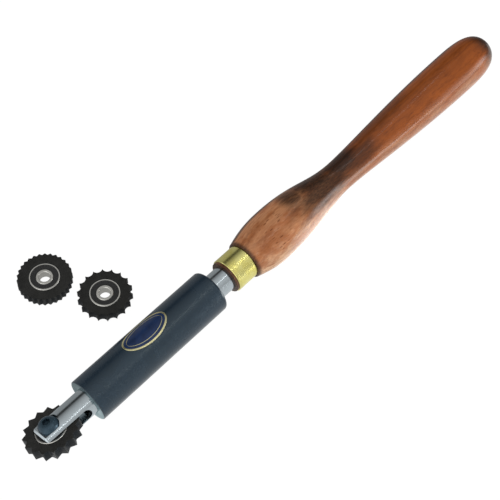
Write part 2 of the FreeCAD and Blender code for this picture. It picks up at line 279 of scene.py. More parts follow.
class BadgeSizes(bpy.types.PropertyGroup):
    length: length("Length", "Length of the oval plate", 36.8)
    width: length("Width", "Width of the oval plate round the barrel", 19.5)
    thickness: length("Thickness", "Thickness of the plate at its rim", 0.3)
    recess: length("Recess", "Depth of the coloured field", 0.08)
    rim: length("Rim", "Width of the bright rim", 1.2)
    band: length("Band", "Width of the band inside the rim", 1.9)
    stripe: length("Stripe", "Width of the bright stripe inside the band", 0.3)
    along: length("Along", "From the axle to the plate's middle", 85.7)
    turn: angle("Turn", "Turn round the barrel, from the top", 6.5)


class Finishes(bpy.types.PropertyGroup):
    steel: colour("Steel", "Ground steel of the bar", 0.53, 0.59, 0.62)
    slate: colour("Slate", "Coating of the barrel", 0.009, 0.019, 0.032)
    face_dark: colour("Face Dark", "Turned front face of the barrel, in its lines", 0.1, 0.125, 0.15)
    face_light: colour("Face Light", "Turned front face of the barrel, between its lines", 0.23, 0.265, 0.3)
    brass: colour("Brass", "Ferrule", 0.92, 0.86, 0.33)
    beech_light: colour("Light Beech", "Stained wood of the belly", 0.52, 0.235, 0.108)
    beech_red: colour("Red Beech", "Redder stained wood of the grip", 0.27, 0.07, 0.014)
    # Painted sheen: a lighter colour laid on the wood's lit front side
    beech_painted_sheen: colour("Pale Beech", "Paler side of the stained wood", 0.68, 0.44, 0.27)
    beech_dark: colour("Dark Beech", "Dark streaks of the stained wood", 0.1, 0.024, 0.007)
    # Also used for the painted shade along the handle's back side
    scorch_and_shade_colour: colour("Scorch", "Scorched patches of the wood", 0.02, 0.012, 0.0085)
    screw: colour("Screw", "Blue-black oxide of the screw", 0.034, 0.062, 0.085)
    cutter: colour("Cutter", "Black oxide of the cutters", 0.014, 0.014, 0.013)
    # Painted shade: a darker colour on the walls between the cutters' faces
    tooth_wall_shade: colour("Tooth Wall", "Oxide on the walls between the teeth", 0.004, 0.007, 0.01)
    tooth_tip: colour("Tooth Tip", "Steel that shows where the teeth are rubbed", 0.13, 0.13, 0.125)
    race: colour("Race", "Polished bearing steel", 0.74, 0.73, 0.68)
    rubber: colour("Rubber", "Seals of the bearings", 0.014, 0.014, 0.014)
    cage: colour("Cage", "Moulded cages of the bearings", 0.12, 0.1, 0.08)
    badge_field: colour("Badge Field", "Field of the oval plate", 0.007, 0.021, 0.07)
    badge_rim: colour("Badge Rim", "Rim and stripe of the oval plate", 0.84, 0.78, 0.44)


class Studio(bpy.types.PropertyGroup):
    camera_at: FloatVectorProperty(
        name="Camera", description="Place of the camera", size=3, subtype="TRANSLATION",
        unit="LENGTH", default=(-0.35427, -0.31461, 0.67677))
    camera_aim: FloatVectorProperty(
        name="Aim", description="Point that the camera looks at", size=3, subtype="TRANSLATION",
        unit="LENGTH", default=(-0.02171, -0.03664, 0.0))
    camera_roll: angle("Roll", "Turn of the camera round its own line of sight", 3.9)
    lens: number("Lens", "Focal length of the camera in millimetres", 80.15)
    paper: colour("Paper", "Floor as a matt sheet", 0.82, 0.82, 0.82)
    white: FloatVectorProperty(
        name="White", description="Floor as the camera sees it", size=3, min=0.0, soft_max=2.0,
        subtype="COLOR", default=(1.06, 1.06, 1.06))
    floor_size: number("Floor Size", "Side of the floor in metres", 8.0)
    floor_glow: number("Floor Glow", "Share of plain white in the floor that the camera sees", 0.92)
    pool: number("Pool", "Extra level of the floor that the lacquer mirrors beside the handle", 7.5)
    ambient: number("Ambient", "Level of the light from all round", 0.36)


SIZE_GROUPS = {
    "bar": BarSizes,
    "screw": ScrewSizes,
    "barrel": BarrelSizes,
    "ferrule": FerruleSizes,
    "handle": HandleSizes,
    "bearing": BearingSizes,
    "cutter": CutterSizes,
    "badge": BadgeSizes,
    "finishes": Finishes,
    "studio": Studio,
}


class ToolSettings(bpy.types.PropertyGroup):
    bar: PointerProperty(type=BarSizes)
    screw: PointerProperty(type=ScrewSizes)
    barrel: PointerProperty(type=BarrelSizes)
    ferrule: PointerProperty(type=FerruleSizes)
    handle: PointerProperty(type=HandleSizes)
    bearing: PointerProperty(type=BearingSizes)
    cutter: PointerProperty(type=CutterSizes)
    badge: PointerProperty(type=BadgeSizes)
    finishes: PointerProperty(type=Finishes)
    studio: PointerProperty(type=Studio)


def settings():
    return bpy.context.scene.spiralling_tool


# Points of outlines


def polar(radius, turn):
    return Vector((radius * math.cos(turn), radius * math.sin(turn), 0))


def arc(centre, start, end, steps, axis):
    """Points from start to end round the centre, the short way, with both ends."""
    first = start - centre
    sweep = first.angle(end - centre)
    if first.cross(end - centre).dot(axis) < 0:
        sweep = -sweep
    turns = (Matrix.Rotation(sweep * i / steps, 3, axis) for i in range(steps + 1))
    return [centre + turn @ first for turn in turns]


def bezier(start, start_pull, end_pull, end, steps):
    """Points of a cubic curve after its start."""
    points = []
    for i in range(1, steps + 1):
        t = i / steps
        s = 1 - t
        near = start * s ** 3 + start_pull * 3 * s * s * t
        far = end_pull * 3 * s * t * t + end * t ** 3
        points.append(near + far)
    return points


def along(distance, radius):
    """Point of a profile that is turned round the tool's long axis."""
    return Vector((distance, 0, radius))


def across(radius, height):
    """Point of a profile that is turned round the axle."""
    return Vector((radius, 0, height))


# Modelling steps shared by the pieces


def clear_selection():
    if bpy.context.mode != "OBJECT":
        bpy.ops.object.mode_set(mode="OBJECT")
    bpy.ops.object.select_all(action="DESELECT")


def pick(piece):
    clear_selection()
    piece.select_set(True)
    bpy.context.view_layer.objects.active = piece


def edit(piece):
    pick(piece)
    bpy.ops.object.mode_set(mode="EDIT")
    bpy.ops.mesh.select_all(action="SELECT")


def draw_chain(name, points):
    """A plane merged into one vertex, which is extruded from point to point."""
    clear_selection()
    bpy.ops.mesh.primitive_plane_add(size=MM)
    piece = bpy.context.object
    piece.name = name
    piece.data.name = name
    bpy.ops.object.mode_set(mode="EDIT")
    bpy.ops.mesh.select_mode(type="VERT")
    bpy.ops.mesh.select_all(action="SELECT")
    bpy.ops.mesh.merge(type="CENTER")
    bpy.ops.transform.translate(value=points[0])
    for before, after in zip(points, points[1:]):
        bpy.ops.mesh.extrude_region_move(TRANSFORM_OT_translate={"value": after - before})
    return piece


def close_up():
    """Merge what coincides and turn all faces outwards."""
    bpy.ops.mesh.select_all(action="SELECT")
    bpy.ops.mesh.remove_doubles(threshold=MERGE_DISTANCE)
    bpy.ops.mesh.normals_make_consistent(inside=False)


def turned(name, profile, axis, steps):
    """A profile spun once round an axis through the origin."""
    piece = draw_chain(name, profile)
    bpy.ops.mesh.select_all(action="SELECT")
    bpy.ops.mesh.spin(steps=steps, angle=math.tau, center=(0, 0, 0), axis=axis)
    close_up()
    bpy.ops.object.mode_set(mode="OBJECT")
    return piece


def extruded(name, outline, depth):
    """A closed outline, filled and extruded."""
    piece = draw_chain(name, outline + outline[:1])
    bpy.ops.mesh.select_all(action="SELECT")
    bpy.ops.mesh.remove_doubles(threshold=MERGE_DISTANCE)
    bpy.ops.mesh.edge_face_add()
    bpy.ops.mesh.extrude_region_move(TRANSFORM_OT_translate={"value": depth})
    close_up()
    bpy.ops.object.mode_set(mode="OBJECT")
    return piece


def apply_modifier(piece, kind, label, **values):
    pick(piece)
    modifier = piece.modifiers.new(label, kind)
    for key, value in values.items():
        setattr(modifier, key, value)
    bpy.ops.object.modifier_apply(modifier=modifier.name)


def cut_away(piece, tool_shape):
    apply_modifier(
        piece, "BOOLEAN", "Cut", operation="DIFFERENCE", solver="EXACT", object=tool_shape)
    bpy.data.objects.remove(tool_shape, do_unlink=True)


def break_edges(piece, width, limit=38.0):
    """Bevel every edge that is sharper than the limit in degrees."""
    apply_modifier(
        piece, "BEVEL", "Broken Edges", width=width, segments=2,
        limit_method="ANGLE", angle_limit=math.radians(limit), harden_normals=False)


def hole_tool(name, radius, low, high):
    """A plain round tool for drilling along Z."""
    clear_selection()
    bpy.ops.mesh.primitive_cylinder_add(
        vertices=96, radius=radius, depth=high - low, location=(0, 0, (high + low) / 2))
    drill = bpy.context.object
    drill.name = name
    return drill


def set_in_place(piece, place, material, body, slot, *nodes, smooth=32.0):
    """Give a finished piece its place, finish and body, with its origin at the frame's."""
    pick(piece)
    piece.matrix_world = place
    bpy.ops.object.transform_apply(location=True, rotation=True, scale=True)
    bpy.ops.object.shade_smooth_by_angle(angle=math.radians(smooth))
    if material is not None:
        piece.data.materials.clear()
        piece.data.materials.append(material)
    if nodes:
        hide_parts(*nodes)
    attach(piece, body)


def copy_of(piece, name):
    twin = piece.copy()
    twin.data = piece.data.copy()
    twin.name = name
    twin.data.name = name
    bpy.context.scene.collection.objects.link(twin)
    return twin


# Nodes of materials


class NodeDesk:
    """Adds nodes to one tree and feeds their sockets with values or links."""

    def __init__(self, tree):
        self.tree = tree

    def add(self, kind, inputs=(), **values):
        node = self.tree.nodes.new(kind)
        for key, value in values.items():
            setattr(node, key, value)
        for key, value in dict(inputs).items():
            self.feed(node.inputs[key], value)
        return node

    def feed(self, socket, value):
        if isinstance(value, bpy.types.NodeSocket):
            self.tree.links.new(value, socket)
        else:
            socket.default_value = value

    def sum(self, operation, *values):
        node = self.add("ShaderNodeMath", operation=operation)
        for i, value in enumerate(values):
            self.feed(node.inputs[i], value)
        return node.outputs[0]

    def vector(self, operation, *values):
        node = self.add("ShaderNodeVectorMath", operation=operation)
        for i, value in enumerate(values):
            self.feed(node.inputs[i], value)
        return node.outputs["Value" if operation in ("LENGTH", "DOT_PRODUCT") else "Vector"]

    def ramp(self, value, low, high, start=0.0, end=1.0):
        node = self.add(
            "ShaderNodeMapRange", interpolation_type="SMOOTHSTEP",
            inputs={"Value": value, "From Min": low, "From Max": high, "To Min": start, "To Max": end})
        return node.outputs["Result"]

    def noise(self, vector, scale, detail=2.0, roughness=0.5, distortion=0.0):
        node = self.add(
            "ShaderNodeTexNoise",
            inputs={"Vector": vector, "Scale": scale, "Detail": detail, "Roughness": roughness,
                    "Distortion": distortion})
        return node.outputs[0]

    def blend(self, factor, first, second):
        node = self.add("ShaderNodeMix", data_type="RGBA", blend_type="MIX")
        self.feed(node.inputs[0], factor)
        self.feed(node.inputs[6], first)
        self.feed(node.inputs[7], second)
        return node.outputs[2]

    def group(self, tree, inputs=()):
        return self.add("ShaderNodeGroup", node_tree=tree, inputs=inputs)

    def bump(self, height, strength, distance, normal=None):
        node = self.add(
            "ShaderNodeBump", inputs={"Height": height, "Strength": strength, "Distance": distance})
        if normal is not None:
            self.feed(node.inputs["Normal"], normal)
        return node.outputs[0]


def new_group(name, inputs, outputs):
    """A shader node group with named sockets, and the desk that fills it."""
    tree = bpy.data.node_groups.new(name, "ShaderNodeTree")
    for label, kind in inputs:
        tree.interface.new_socket(name=label, in_out="INPUT", socket_type="NodeSocket" + kind)
    for label, kind in outputs:
        tree.interface.new_socket(name=label, in_out="OUTPUT", socket_type="NodeSocket" + kind)
    desk = NodeDesk(tree)
    return tree, desk, desk.add("NodeGroupInput").outputs, desk.add("NodeGroupOutput").inputs


def machined_lines():
    """Fine uneven lines left by a tool or a wheel, across one measured distance."""
    tree, desk, given, result = new_group(
        "Machined Lines",
        (("Distance", "Float"), ("Vector", "Vector"), ("Spacing", "Float")),
        (("Height", "Float"), ("Tone", "Float")))
    drift = desk.noise(given["Vector"], 0.15, 2.0)
    steps = desk.sum("DIVIDE", given["Distance"], given["Spacing"])
    steps = desk.sum("ADD", steps, drift)
    fine = desk.add(
        "ShaderNodeTexNoise", noise_dimensions="1D",
        inputs={"W": steps, "Scale": 1.0, "Detail": 3.0})
    broad = desk.add(
        "ShaderNodeTexNoise", noise_dimensions="1D",
        inputs={"W": desk.sum("MULTIPLY", steps, 0.13), "Scale": 1.0, "Detail": 2.0})
    patchy = desk.noise(given["Vector"], 0.5, 3.0)
    lines = desk.sum("MULTIPLY", fine.outputs[0], desk.ramp(patchy, 0.25, 0.7, 0.65, 1.0))
    desk.feed(result["Height"], lines)
    desk.feed(result["Tone"], desk.sum("ADD", desk.sum("MULTIPLY", lines, 0.6),
                                       desk.sum("MULTIPLY", broad.outputs[0], 0.4)))
    return tree


def handling_marks():
    """Broad soft smears that hands leave on a smooth surface."""
    tree, desk, given, result = new_group(
        "Handling Marks", (("Vector", "Vector"), ("Scale", "Float")), (("Mask", "Float"),))
    smear = desk.noise(given["Vector"], given["Scale"], 4.0, 0.55, 0.6)
    finer = desk.noise(given["Vector"], desk.sum("MULTIPLY", given["Scale"], 5.0), 3.0, 0.6)
    both = desk.sum("ADD", desk.sum("MULTIPLY", smear, 0.75), desk.sum("MULTIPLY", finer, 0.25))
    desk.feed(result["Mask"], desk.ramp(both, 0.38, 0.66))
    return tree


def rubbed_edge():
    """Mask that grows towards an edge at a known distance, broken up by use."""
    tree, desk, given, result = new_group(
        "Rubbed Edge",
        (("Distance", "Float"), ("Edge", "Float"), ("Reach", "Float"), ("Vector", "Vector")),
        (("Mask", "Float"),))
    broken = desk.noise(given["Vector"], 1.7, 4.0, 0.65)
    sway = desk.sum("MULTIPLY", given["Reach"], 2.2)
    shift = desk.sum("MULTIPLY", desk.sum("SUBTRACT", broken, 0.5), sway)
    place = desk.sum("ADD", given["Distance"], shift)
    low = desk.sum("SUBTRACT", given["Edge"], given["Reach"])
    desk.feed(result["Mask"], desk.ramp(place, low, given["Edge"]))
    return tree


def fine_mottle():
    """Fine grain of an oxide, a coating or moulded rubber."""
    tree, desk, given, result = new_group(
        "Fine Mottle", (("Vector", "Vector"), ("Scale", "Float")),
        (("Tone", "Float"), ("Height", "Float")))
    grain = desk.noise(given["Vector"], given["Scale"], 4.0, 0.6)
    cells = desk.add("ShaderNodeTexVoronoi", inputs={"Vector": given["Vector"], "Scale": given["Scale"]})
    desk.feed(result["Tone"], desk.ramp(grain, 0.3, 0.72))
    desk.feed(result["Height"], desk.sum(
        "ADD", desk.sum("MULTIPLY", grain, 0.6), desk.sum("MULTIPLY", cells.outputs["Distance"], 0.4)))
    return tree


def soft_patch():
    """Soft ragged spot round a centre, with its own reach in each direction."""
    tree, desk, given, result = new_group(
        "Soft Patch",
        (("Vector", "Vector"), ("Centre", "Vector"), ("Size", "Vector"), ("Ragged", "Float")),
        (("Mask", "Float"),))
    offset = desk.vector("SUBTRACT", given["Vector"], given["Centre"])
    reach = desk.vector("LENGTH", desk.vector("DIVIDE", offset, given["Size"]))
    streaks = desk.noise(desk.vector("MULTIPLY", given["Vector"], (0.07, 0.26, 0.26)), 1.0, 5.0, 0.6)
    ragged = desk.sum("MULTIPLY", desk.sum("SUBTRACT", streaks, 0.5), given["Ragged"])
    desk.feed(result["Mask"], desk.ramp(desk.sum("ADD", reach, ragged), 1.0, 0.25))
    return tree


def beech_figure():
    """Fibres, growth rings and ray flecks of beech that runs along X."""
    tree, desk, given, result = new_group(
        "Beech Figure", (("Vector", "Vector"),),
        (("Fibres", "Float"), ("Rings", "Float"), ("Flecks", "Float"), ("Cloud", "Float"),
         ("Streaks", "Float")))
    vector = given["Vector"]
    wander = desk.noise(desk.vector("MULTIPLY", vector, (0.012, 0.05, 0.05)), 1.0, 2.0)
    fibres = desk.noise(desk.vector("MULTIPLY", vector, (0.11, 1.7, 1.7)), 1.0, 6.0, 0.66)
    pith = desk.vector("ADD", vector, (0, 46, -38))
    flat = desk.vector("MULTIPLY", pith, (0.0, 1.0, 1.0))
    distance = desk.vector("LENGTH", flat)
    lean = desk.vector("DOT_PRODUCT", vector, (0.055, 0.0, 0.0))
    rings = desk.sum("ADD", desk.sum("ADD", distance, lean), desk.sum("MULTIPLY", wander, 16.0))
    wave = desk.sum("SINE", desk.sum("MULTIPLY", rings, 1.75))
    fleck_grid = desk.vector("MULTIPLY", vector, (0.15, 0.72, 0.72))
    cells = desk.add(
        "ShaderNodeTexVoronoi", inputs={"Vector": fleck_grid, "Scale": 1.0, "Randomness": 1.0})
    spots = desk.ramp(cells.outputs["Distance"], 0.34, 0.16)
    streaks = desk.noise(desk.vector("MULTIPLY", vector, (0.05, 0.32, 0.32)), 1.0, 6.0, 0.7, 0.3)
    cloud = desk.noise(desk.vector("MULTIPLY", vector, (0.05, 0.11, 0.11)), 1.0, 4.0, 0.6)
    desk.feed(result["Fibres"], desk.ramp(fibres, 0.3, 0.72))
    desk.feed(result["Rings"], desk.ramp(wave, -1.0, 1.0))
    desk.feed(result["Flecks"], spots)
    desk.feed(result["Cloud"], cloud)
    desk.feed(result["Streaks"], desk.ramp(streaks, 0.46, 0.66))
    return tree


GROUP_MAKERS = {
    "lines": machined_lines,
    "marks": handling_marks,
    "rub": rubbed_edge,
    "mottle": fine_mottle,
    "patch": soft_patch,
    "beech": beech_figure,
}
groups = {}


def shared(key):
    """A shared node group, built at its first use."""
    if key not in groups:
        groups[key] = GROUP_MAKERS[key]()
    return groups[key]


def opaque(levels):
    return (levels[0], levels[1], levels[2], 1.0)


def shade(levels, factor):
    return (levels[0] * factor, levels[1] * factor, levels[2] * factor, 1.0)


class Finish(NodeDesk):
    """A material with a Principled shader and coordinates in millimetres in a piece's own frame."""

    def __init__(self, name, place, **constants):
        self.material = bpy.data.materials.new(name)
        self.material.use_nodes = True
        super().__init__(self.material.node_tree)
        self.tree.nodes.clear()
        self.shader = self.add("ShaderNodeBsdfPrincipled")
        output = self.add("ShaderNodeOutputMaterial")
        self.tree.links.new(self.shader.outputs[0], output.inputs[0])
        for key, value in constants.items():
            self.shader.inputs[key.replace("_", " ")].default_value = value
        coordinates = self.add("ShaderNodeTexCoord").outputs["Object"]
        self.position = self.add(
            "ShaderNodeMapping", vector_type="TEXTURE",
            inputs={"Vector": coordinates, "Location": place.to_translation(),
                    "Rotation": place.to_euler(), "Scale": (MM, MM, MM)}).outputs[0]
        split = self.add("ShaderNodeSeparateXYZ", inputs={"Vector": self.position})
        self.x, self.y, self.z = split.outputs

    def out(self, key, value):
        self.feed(self.shader.inputs[key], value)

    def radius(self, axis):
        """Distance from the X or the Z axis of the piece's frame."""
        flat = (0.0, 1.0, 1.0) if axis == "X" else (1.0, 1.0, 0.0)
        return self.vector("LENGTH", self.vector("MULTIPLY", self.position, flat))

    def turn(self):
        """Radians round the X axis, from the top towards the front."""
        return self.sum("ARCTAN2", self.sum("MULTIPLY", self.y, -1.0), self.z)

    def pattern(self, key, **inputs):
        """Outputs of a shared group at this material's position."""
        return self.group(shared(key), {"Vector": self.position, **inputs}).outputs


def ground_steel(name, place, base, roughness=0.13):
    """Bright steel with grinding lines round the bar."""
    finish = Finish(name, place, Metallic=1.0)
    lines = finish.pattern("lines", Distance=finish.x, Spacing=0.16)
    marks = finish.pattern("marks", Scale=0.09)["Mask"]
    worn = finish.blend(lines["Tone"], shade(base, 0.86), shade(base, 1.06))
    finish.out("Base Color", finish.blend(marks, worn, shade(base, 0.9)))
    rough = finish.ramp(lines["Tone"], 0.2, 0.8, roughness - 0.05, roughness + 0.06)
    finish.out("Roughness", finish.sum("ADD", rough, finish.sum("MULTIPLY", marks, 0.07)))
    finish.out("Normal", finish.bump(lines["Height"], 0.12, 0.01 * MM))
    return finish.material


def slate_coating(place, finishes, front):
    """Dark satin coating, turned off the front face so that bare steel shows there."""
    base = finishes.slate
    finish = Finish("slate_coating", place, Specular_IOR_Level=0.5, Coat_Roughness=0.3,
                    Specular_Tint=(0.86, 1.0, 1.0, 1.0))
    mottle = finish.pattern("mottle", Scale=1.6)
    marks = finish.pattern("marks", Scale=0.05)["Mask"]
    coat = finish.blend(mottle["Tone"], shade(base, 0.86), shade(base, 1.12))
    coat = finish.blend(marks, coat, shade(base, 1.16))
    bare = finish.ramp(finish.x, front + 0.12, front + 0.02)
    facing = finish.pattern("lines", Distance=finish.radius("X"), Spacing=0.2)
    metal = finish.blend(facing["Tone"], opaque(finishes.face_dark), opaque(finishes.face_light))
    finish.out("Base Color", finish.blend(bare, coat, metal))
    finish.out("Metallic", bare)
    satin = finish.ramp(marks, 0.0, 1.0, 0.22, 0.3)
    finish.out("Roughness", finish.sum("SUBTRACT", satin, finish.sum("MULTIPLY", bare, 0.08)))
    coated = finish.sum("SUBTRACT", 1.0, bare)
    finish.out("Coat Weight", finish.sum("MULTIPLY", coated, 0.12))
    skin = finish.bump(mottle["Height"], 0.25, 0.025 * MM)
    finish.out("Normal", finish.bump(facing["Height"], 0.3, 0.01 * MM, skin))
    return finish.material


def turned_brass(place, base, front, back):
    """Polished brass with fine turning lines, painted dark reflections along it, and darker towards both
    rims.
    """
    finish = Finish("turned_brass", place, Metallic=1.0)
    lines = finish.pattern("lines", Distance=finish.x, Spacing=0.11)
    marks = finish.pattern("marks", Scale=0.11)["Mask"]
    brass = finish.blend(lines["Tone"], shade(base, 0.84), shade(base, 1.08))
    tarnish = (base[0] * 0.86, base[1] * 0.82, base[2] * 0.6, 1.0)
    brass = finish.blend(marks, brass, tarnish)
    turn = finish.turn()
    # Painted reflections: dark bands at fixed places round the ferrule, laid into the brass colour
    band = 0.0
    for middle in BRASS_BANDS:
        away = finish.sum("ABSOLUTE", finish.sum("SUBTRACT", turn, middle))
        band = finish.sum("MAXIMUM", band, finish.ramp(away, *BRASS_BAND_EDGE))
    brass = finish.blend(finish.sum("MULTIPLY", band, 0.4), brass, shade(base, 0.55))
    rim = finish.sum("MAXIMUM", finish.ramp(finish.x, front + 3.2, front + 0.4),
                     finish.ramp(finish.x, back - 0.9, back - 0.1))
    brass = finish.blend(finish.sum("MULTIPLY", rim, 0.35), brass, shade(base, 0.6))
    finish.out("Base Color", brass)
    rough = finish.ramp(lines["Tone"], 0.2, 0.8, 0.17, 0.27)
    finish.out("Roughness", finish.sum("ADD", rough, finish.sum("MULTIPLY", marks, 0.06)))
    finish.out("Normal", finish.bump(lines["Height"], 0.1, 0.02 * MM))
    return finish.material


def strongest_patch(finish, unrolled, patches):
    """Strongest of several soft patches, each with its place along and round the handle."""
    mm_round = math.radians(1) * GIRTH_RADIUS
    total = 0.0
    for along_x, degrees, length_x, spread, ragged, depth in patches:
        patch = finish.group(shared("patch"), {
            "Vector": unrolled, "Centre": (along_x, degrees * mm_round, 0.0),
            "Size": (length_x, spread * mm_round, 1.0), "Ragged": ragged})
        strength = finish.sum("MULTIPLY", patch.outputs["Mask"], depth)
        total = finish.sum("MAXIMUM", total, strength)
    return total


def beech_stain(finish, finishes, figure, turn, toward_end):
    """Colour of the stained wood before it is scorched, redder from the belly to the end, with a painted
    sheen laid on its front side.
    """
    dark = opaque(finishes.beech_dark)
    wood = finish.blend(toward_end, opaque(finishes.beech_light), opaque(finishes.beech_red))
    # Painted sheen: lighter colour on the front side of the handle, where the lacquer shines
    paler = finish.sum("MULTIPLY", finish.ramp(turn, 0.95, 1.85), finish.ramp(turn, 3.0, 2.6))
    paler = finish.sum("MULTIPLY", paler, finish.ramp(toward_end, 0.0, 1.0, 0.8, 0.36))
    wood = finish.blend(paler, wood, opaque(finishes.beech_painted_sheen))
    redder = finish.sum("MULTIPLY", finish.ramp(figure["Cloud"], 0.42, 0.62), 0.6)
    wood = finish.blend(redder, wood, shade(finishes.beech_red, 1.15))
    streaks = finish.sum("MULTIPLY", figure["Streaks"], finish.ramp(toward_end, 0.0, 1.0, 0.26, 0.42))
    wood = finish.blend(streaks, wood, dark)
    wood = finish.blend(finish.sum("MULTIPLY", figure["Rings"], 0.16), wood, dark)
    fibres = finish.sum("MULTIPLY", figure["Fibres"], 0.28)
    return finish.blend(fibres, wood, shade(finishes.beech_dark, 1.4))


def stained_beech(place, finishes, sizes, ferrule_end):
    """Reddish stained beech under lacquer with a painted sheen on its front side, scorched in places and
    with painted shade along its back side.
    """
    finish = Finish("stained_beech", place, Coat_Roughness=0.16, Coat_IOR=1.45, Coat_Weight=0.55,
                    Specular_IOR_Level=0.0)
    turn = finish.turn()
    girth = finish.sum("MULTIPLY", turn, GIRTH_RADIUS)
    unrolled = finish.add("ShaderNodeCombineXYZ", inputs={"X": finish.x, "Y": girth}).outputs[0]
    figure = finish.pattern("beech")
    fibres, flecks = figure["Fibres"], figure["Flecks"]
    toward_end = finish.ramp(finish.x, sizes.belly_at / MM + 20.0, sizes.waist_at / MM + 20.0)
    wood = beech_stain(finish, finishes, figure, turn, toward_end)
    fleck_zones = finish.sum("MULTIPLY", strongest_patch(finish, unrolled, FLECK_ZONES), 0.6)
    dashes = finish.sum("MULTIPLY", flecks, finish.sum("ADD", 0.25, fleck_zones))
    wood = finish.blend(dashes, wood, opaque(finishes.beech_dark))
    collar = finish.sum("MULTIPLY", finish.ramp(finish.x, ferrule_end + 3.4, ferrule_end + 0.5), 0.85)
    scorch_and_shade_mask = finish.sum("MAXIMUM", collar, strongest_patch(finish, unrolled, SCORCH_PATCHES))
    # Painted shade: a dark band along the handle's back side, in the scorch colour
    back = finish.sum("MULTIPLY", finish.ramp(turn, -0.36, -0.6, 0.0, 0.93), finish.ramp(turn, -2.0, -1.4))
    scorch_and_shade_mask = finish.sum("MAXIMUM", scorch_and_shade_mask, back)
    streaky = finish.sum("MULTIPLY", scorch_and_shade_mask, finish.ramp(fibres, 0.0, 0.9, 0.84, 1.0))
    finish.out("Base Color", finish.blend(streaky, wood, opaque(finishes.scorch_and_shade_colour)))
    finish.out("Roughness", finish.ramp(fibres, 0.0, 1.0, 0.38, 0.5))
    pores = finish.sum("SUBTRACT", fibres, finish.sum("MULTIPLY", flecks, 0.5))
    finish.out("Normal", finish.bump(pores, 0.1, 0.04 * MM))
    return finish.material


def black_steel(name, place, finishes, tip, half_width):
    """Black oxide on a cutter, with painted shade on its walls and in its bore, rubbed paler at the tips of
    its teeth.
    """
    base = finishes.cutter
    finish = Finish(name, place, Specular_IOR_Level=0.2)
    mottle = finish.pattern("mottle", Scale=2.4)
    marks = finish.pattern("marks", Scale=0.16)["Mask"]
    radius = finish.radius("Z")
    rubbed = finish.pattern("rub", Distance=radius, Edge=tip + 0.5, Reach=1.5)["Mask"]
    oxide = finish.blend(mottle["Tone"], shade(base, 0.7), shade(base, 1.5))
    oxide = finish.blend(finish.sum("MULTIPLY", marks, 0.5), oxide, shade(base, 2.0))
    # Painted shade on the walls of the teeth and the bore
    walls = finish.ramp(finish.sum("ABSOLUTE", finish.z), half_width - 0.03, half_width - 0.2)
    oxide = finish.blend(finish.sum("MULTIPLY", walls, 0.8), oxide, opaque(finishes.tooth_wall_shade))
    oxide = finish.blend(finish.sum("MULTIPLY", rubbed, 0.45), oxide, opaque(finishes.tooth_tip))
    finish.out("Base Color", oxide)
    finish.out("Roughness", finish.ramp(mottle["Tone"], 0.0, 1.0, 0.42, 0.58))
    lines = finish.pattern("lines", Distance=radius, Spacing=0.3)
    skin = finish.bump(mottle["Height"], 0.35, 0.05 * MM)
    finish.out("Normal", finish.bump(lines["Height"], 0.2, 0.02 * MM, skin))
    return finish.material


def polished_race(name, place, base):
    """Bearing steel with fine ground rings."""
    finish = Finish(name, place, Metallic=1.0)
    lines = finish.pattern("lines", Distance=finish.radius("Z"), Spacing=0.12)
    marks = finish.pattern("marks", Scale=0.3)["Mask"]
    tone = finish.blend(lines["Tone"], shade(base, 0.8), shade(base, 1.05))
    finish.out("Base Color", finish.blend(marks, tone, shade(base, 0.82)))
    finish.out("Roughness", finish.ramp(lines["Tone"], 0.2, 0.8, 0.2, 0.32))
    finish.out("Normal", finish.bump(lines["Height"], 0.2, 0.01 * MM))
    return finish.material


def oxide_screw(place, base, head_radius):
    """Blue-black oxide, rubbed paler round the rim of the screw's head."""
    finish = Finish("oxide_screw", place, Metallic=0.55)
    mottle = finish.pattern("mottle", Scale=3.0)
    rubbed = finish.pattern("rub", Distance=finish.radius("Z"), Edge=head_radius + 0.3, Reach=0.5)
    tone = finish.blend(mottle["Tone"], shade(base, 0.75), shade(base, 1.35))
    tone = finish.blend(finish.sum("MULTIPLY", rubbed["Mask"], 0.3), tone, shade(base, 3.0))
    finish.out("Base Color", tone)
    finish.out("Roughness", finish.ramp(mottle["Tone"], 0.0, 1.0, 0.3, 0.42))
    finish.out("Normal", finish.bump(mottle["Height"], 0.2, 0.02 * MM))
    return finish.material


def moulded(name, place, base, roughness):
    """Rubber or nylon with a fine moulded grain."""
    finish = Finish(name, place)
    mottle = finish.pattern("mottle", Scale=4.0)
    finish.out("Base Color", finish.blend(mottle["Tone"], shade(base, 0.8), shade(base, 1.3)))
    finish.out("Roughness", finish.ramp(mottle["Tone"], 0.0, 1.0, roughness - 0.06, roughness + 0.06))
    finish.out("Normal", finish.bump(mottle["Height"], 0.2, 0.02 * MM))
    return finish.material


def badge_enamel(place, base):
    """Dark blue enamel in the field of the oval plate."""
    finish = Finish("badge_enamel", place, Coat_Weight=0.2, Coat_Roughness=0.1, Specular_IOR_Level=0.3)
    marks = finish.pattern("marks", Scale=0.2)["Mask"]
    mottle = finish.pattern("mottle", Scale=5.0)["Tone"]
    finish.out("Base Color", finish.blend(marks, shade(base, 0.85), shade(base, 1.25)))
    finish.out("Roughness", finish.ramp(mottle, 0.0, 1.0, 0.28, 0.38))
    return finish.material


def badge_metal(place, base):
    """Pale gold metal of the oval plate's rim and stripe."""
    finish = Finish("badge_metal", place, Metallic=1.0)
    mottle = finish.pattern("mottle", Scale=3.0)["Tone"]
    finish.out("Base Color", finish.blend(mottle, shade(base, 0.85), shade(base, 1.1)))
    finish.out("Roughness", finish.ramp(mottle, 0.0, 1.0, 0.22, 0.34))
    return finish.material


# Operators, one for each piece or group of like pieces


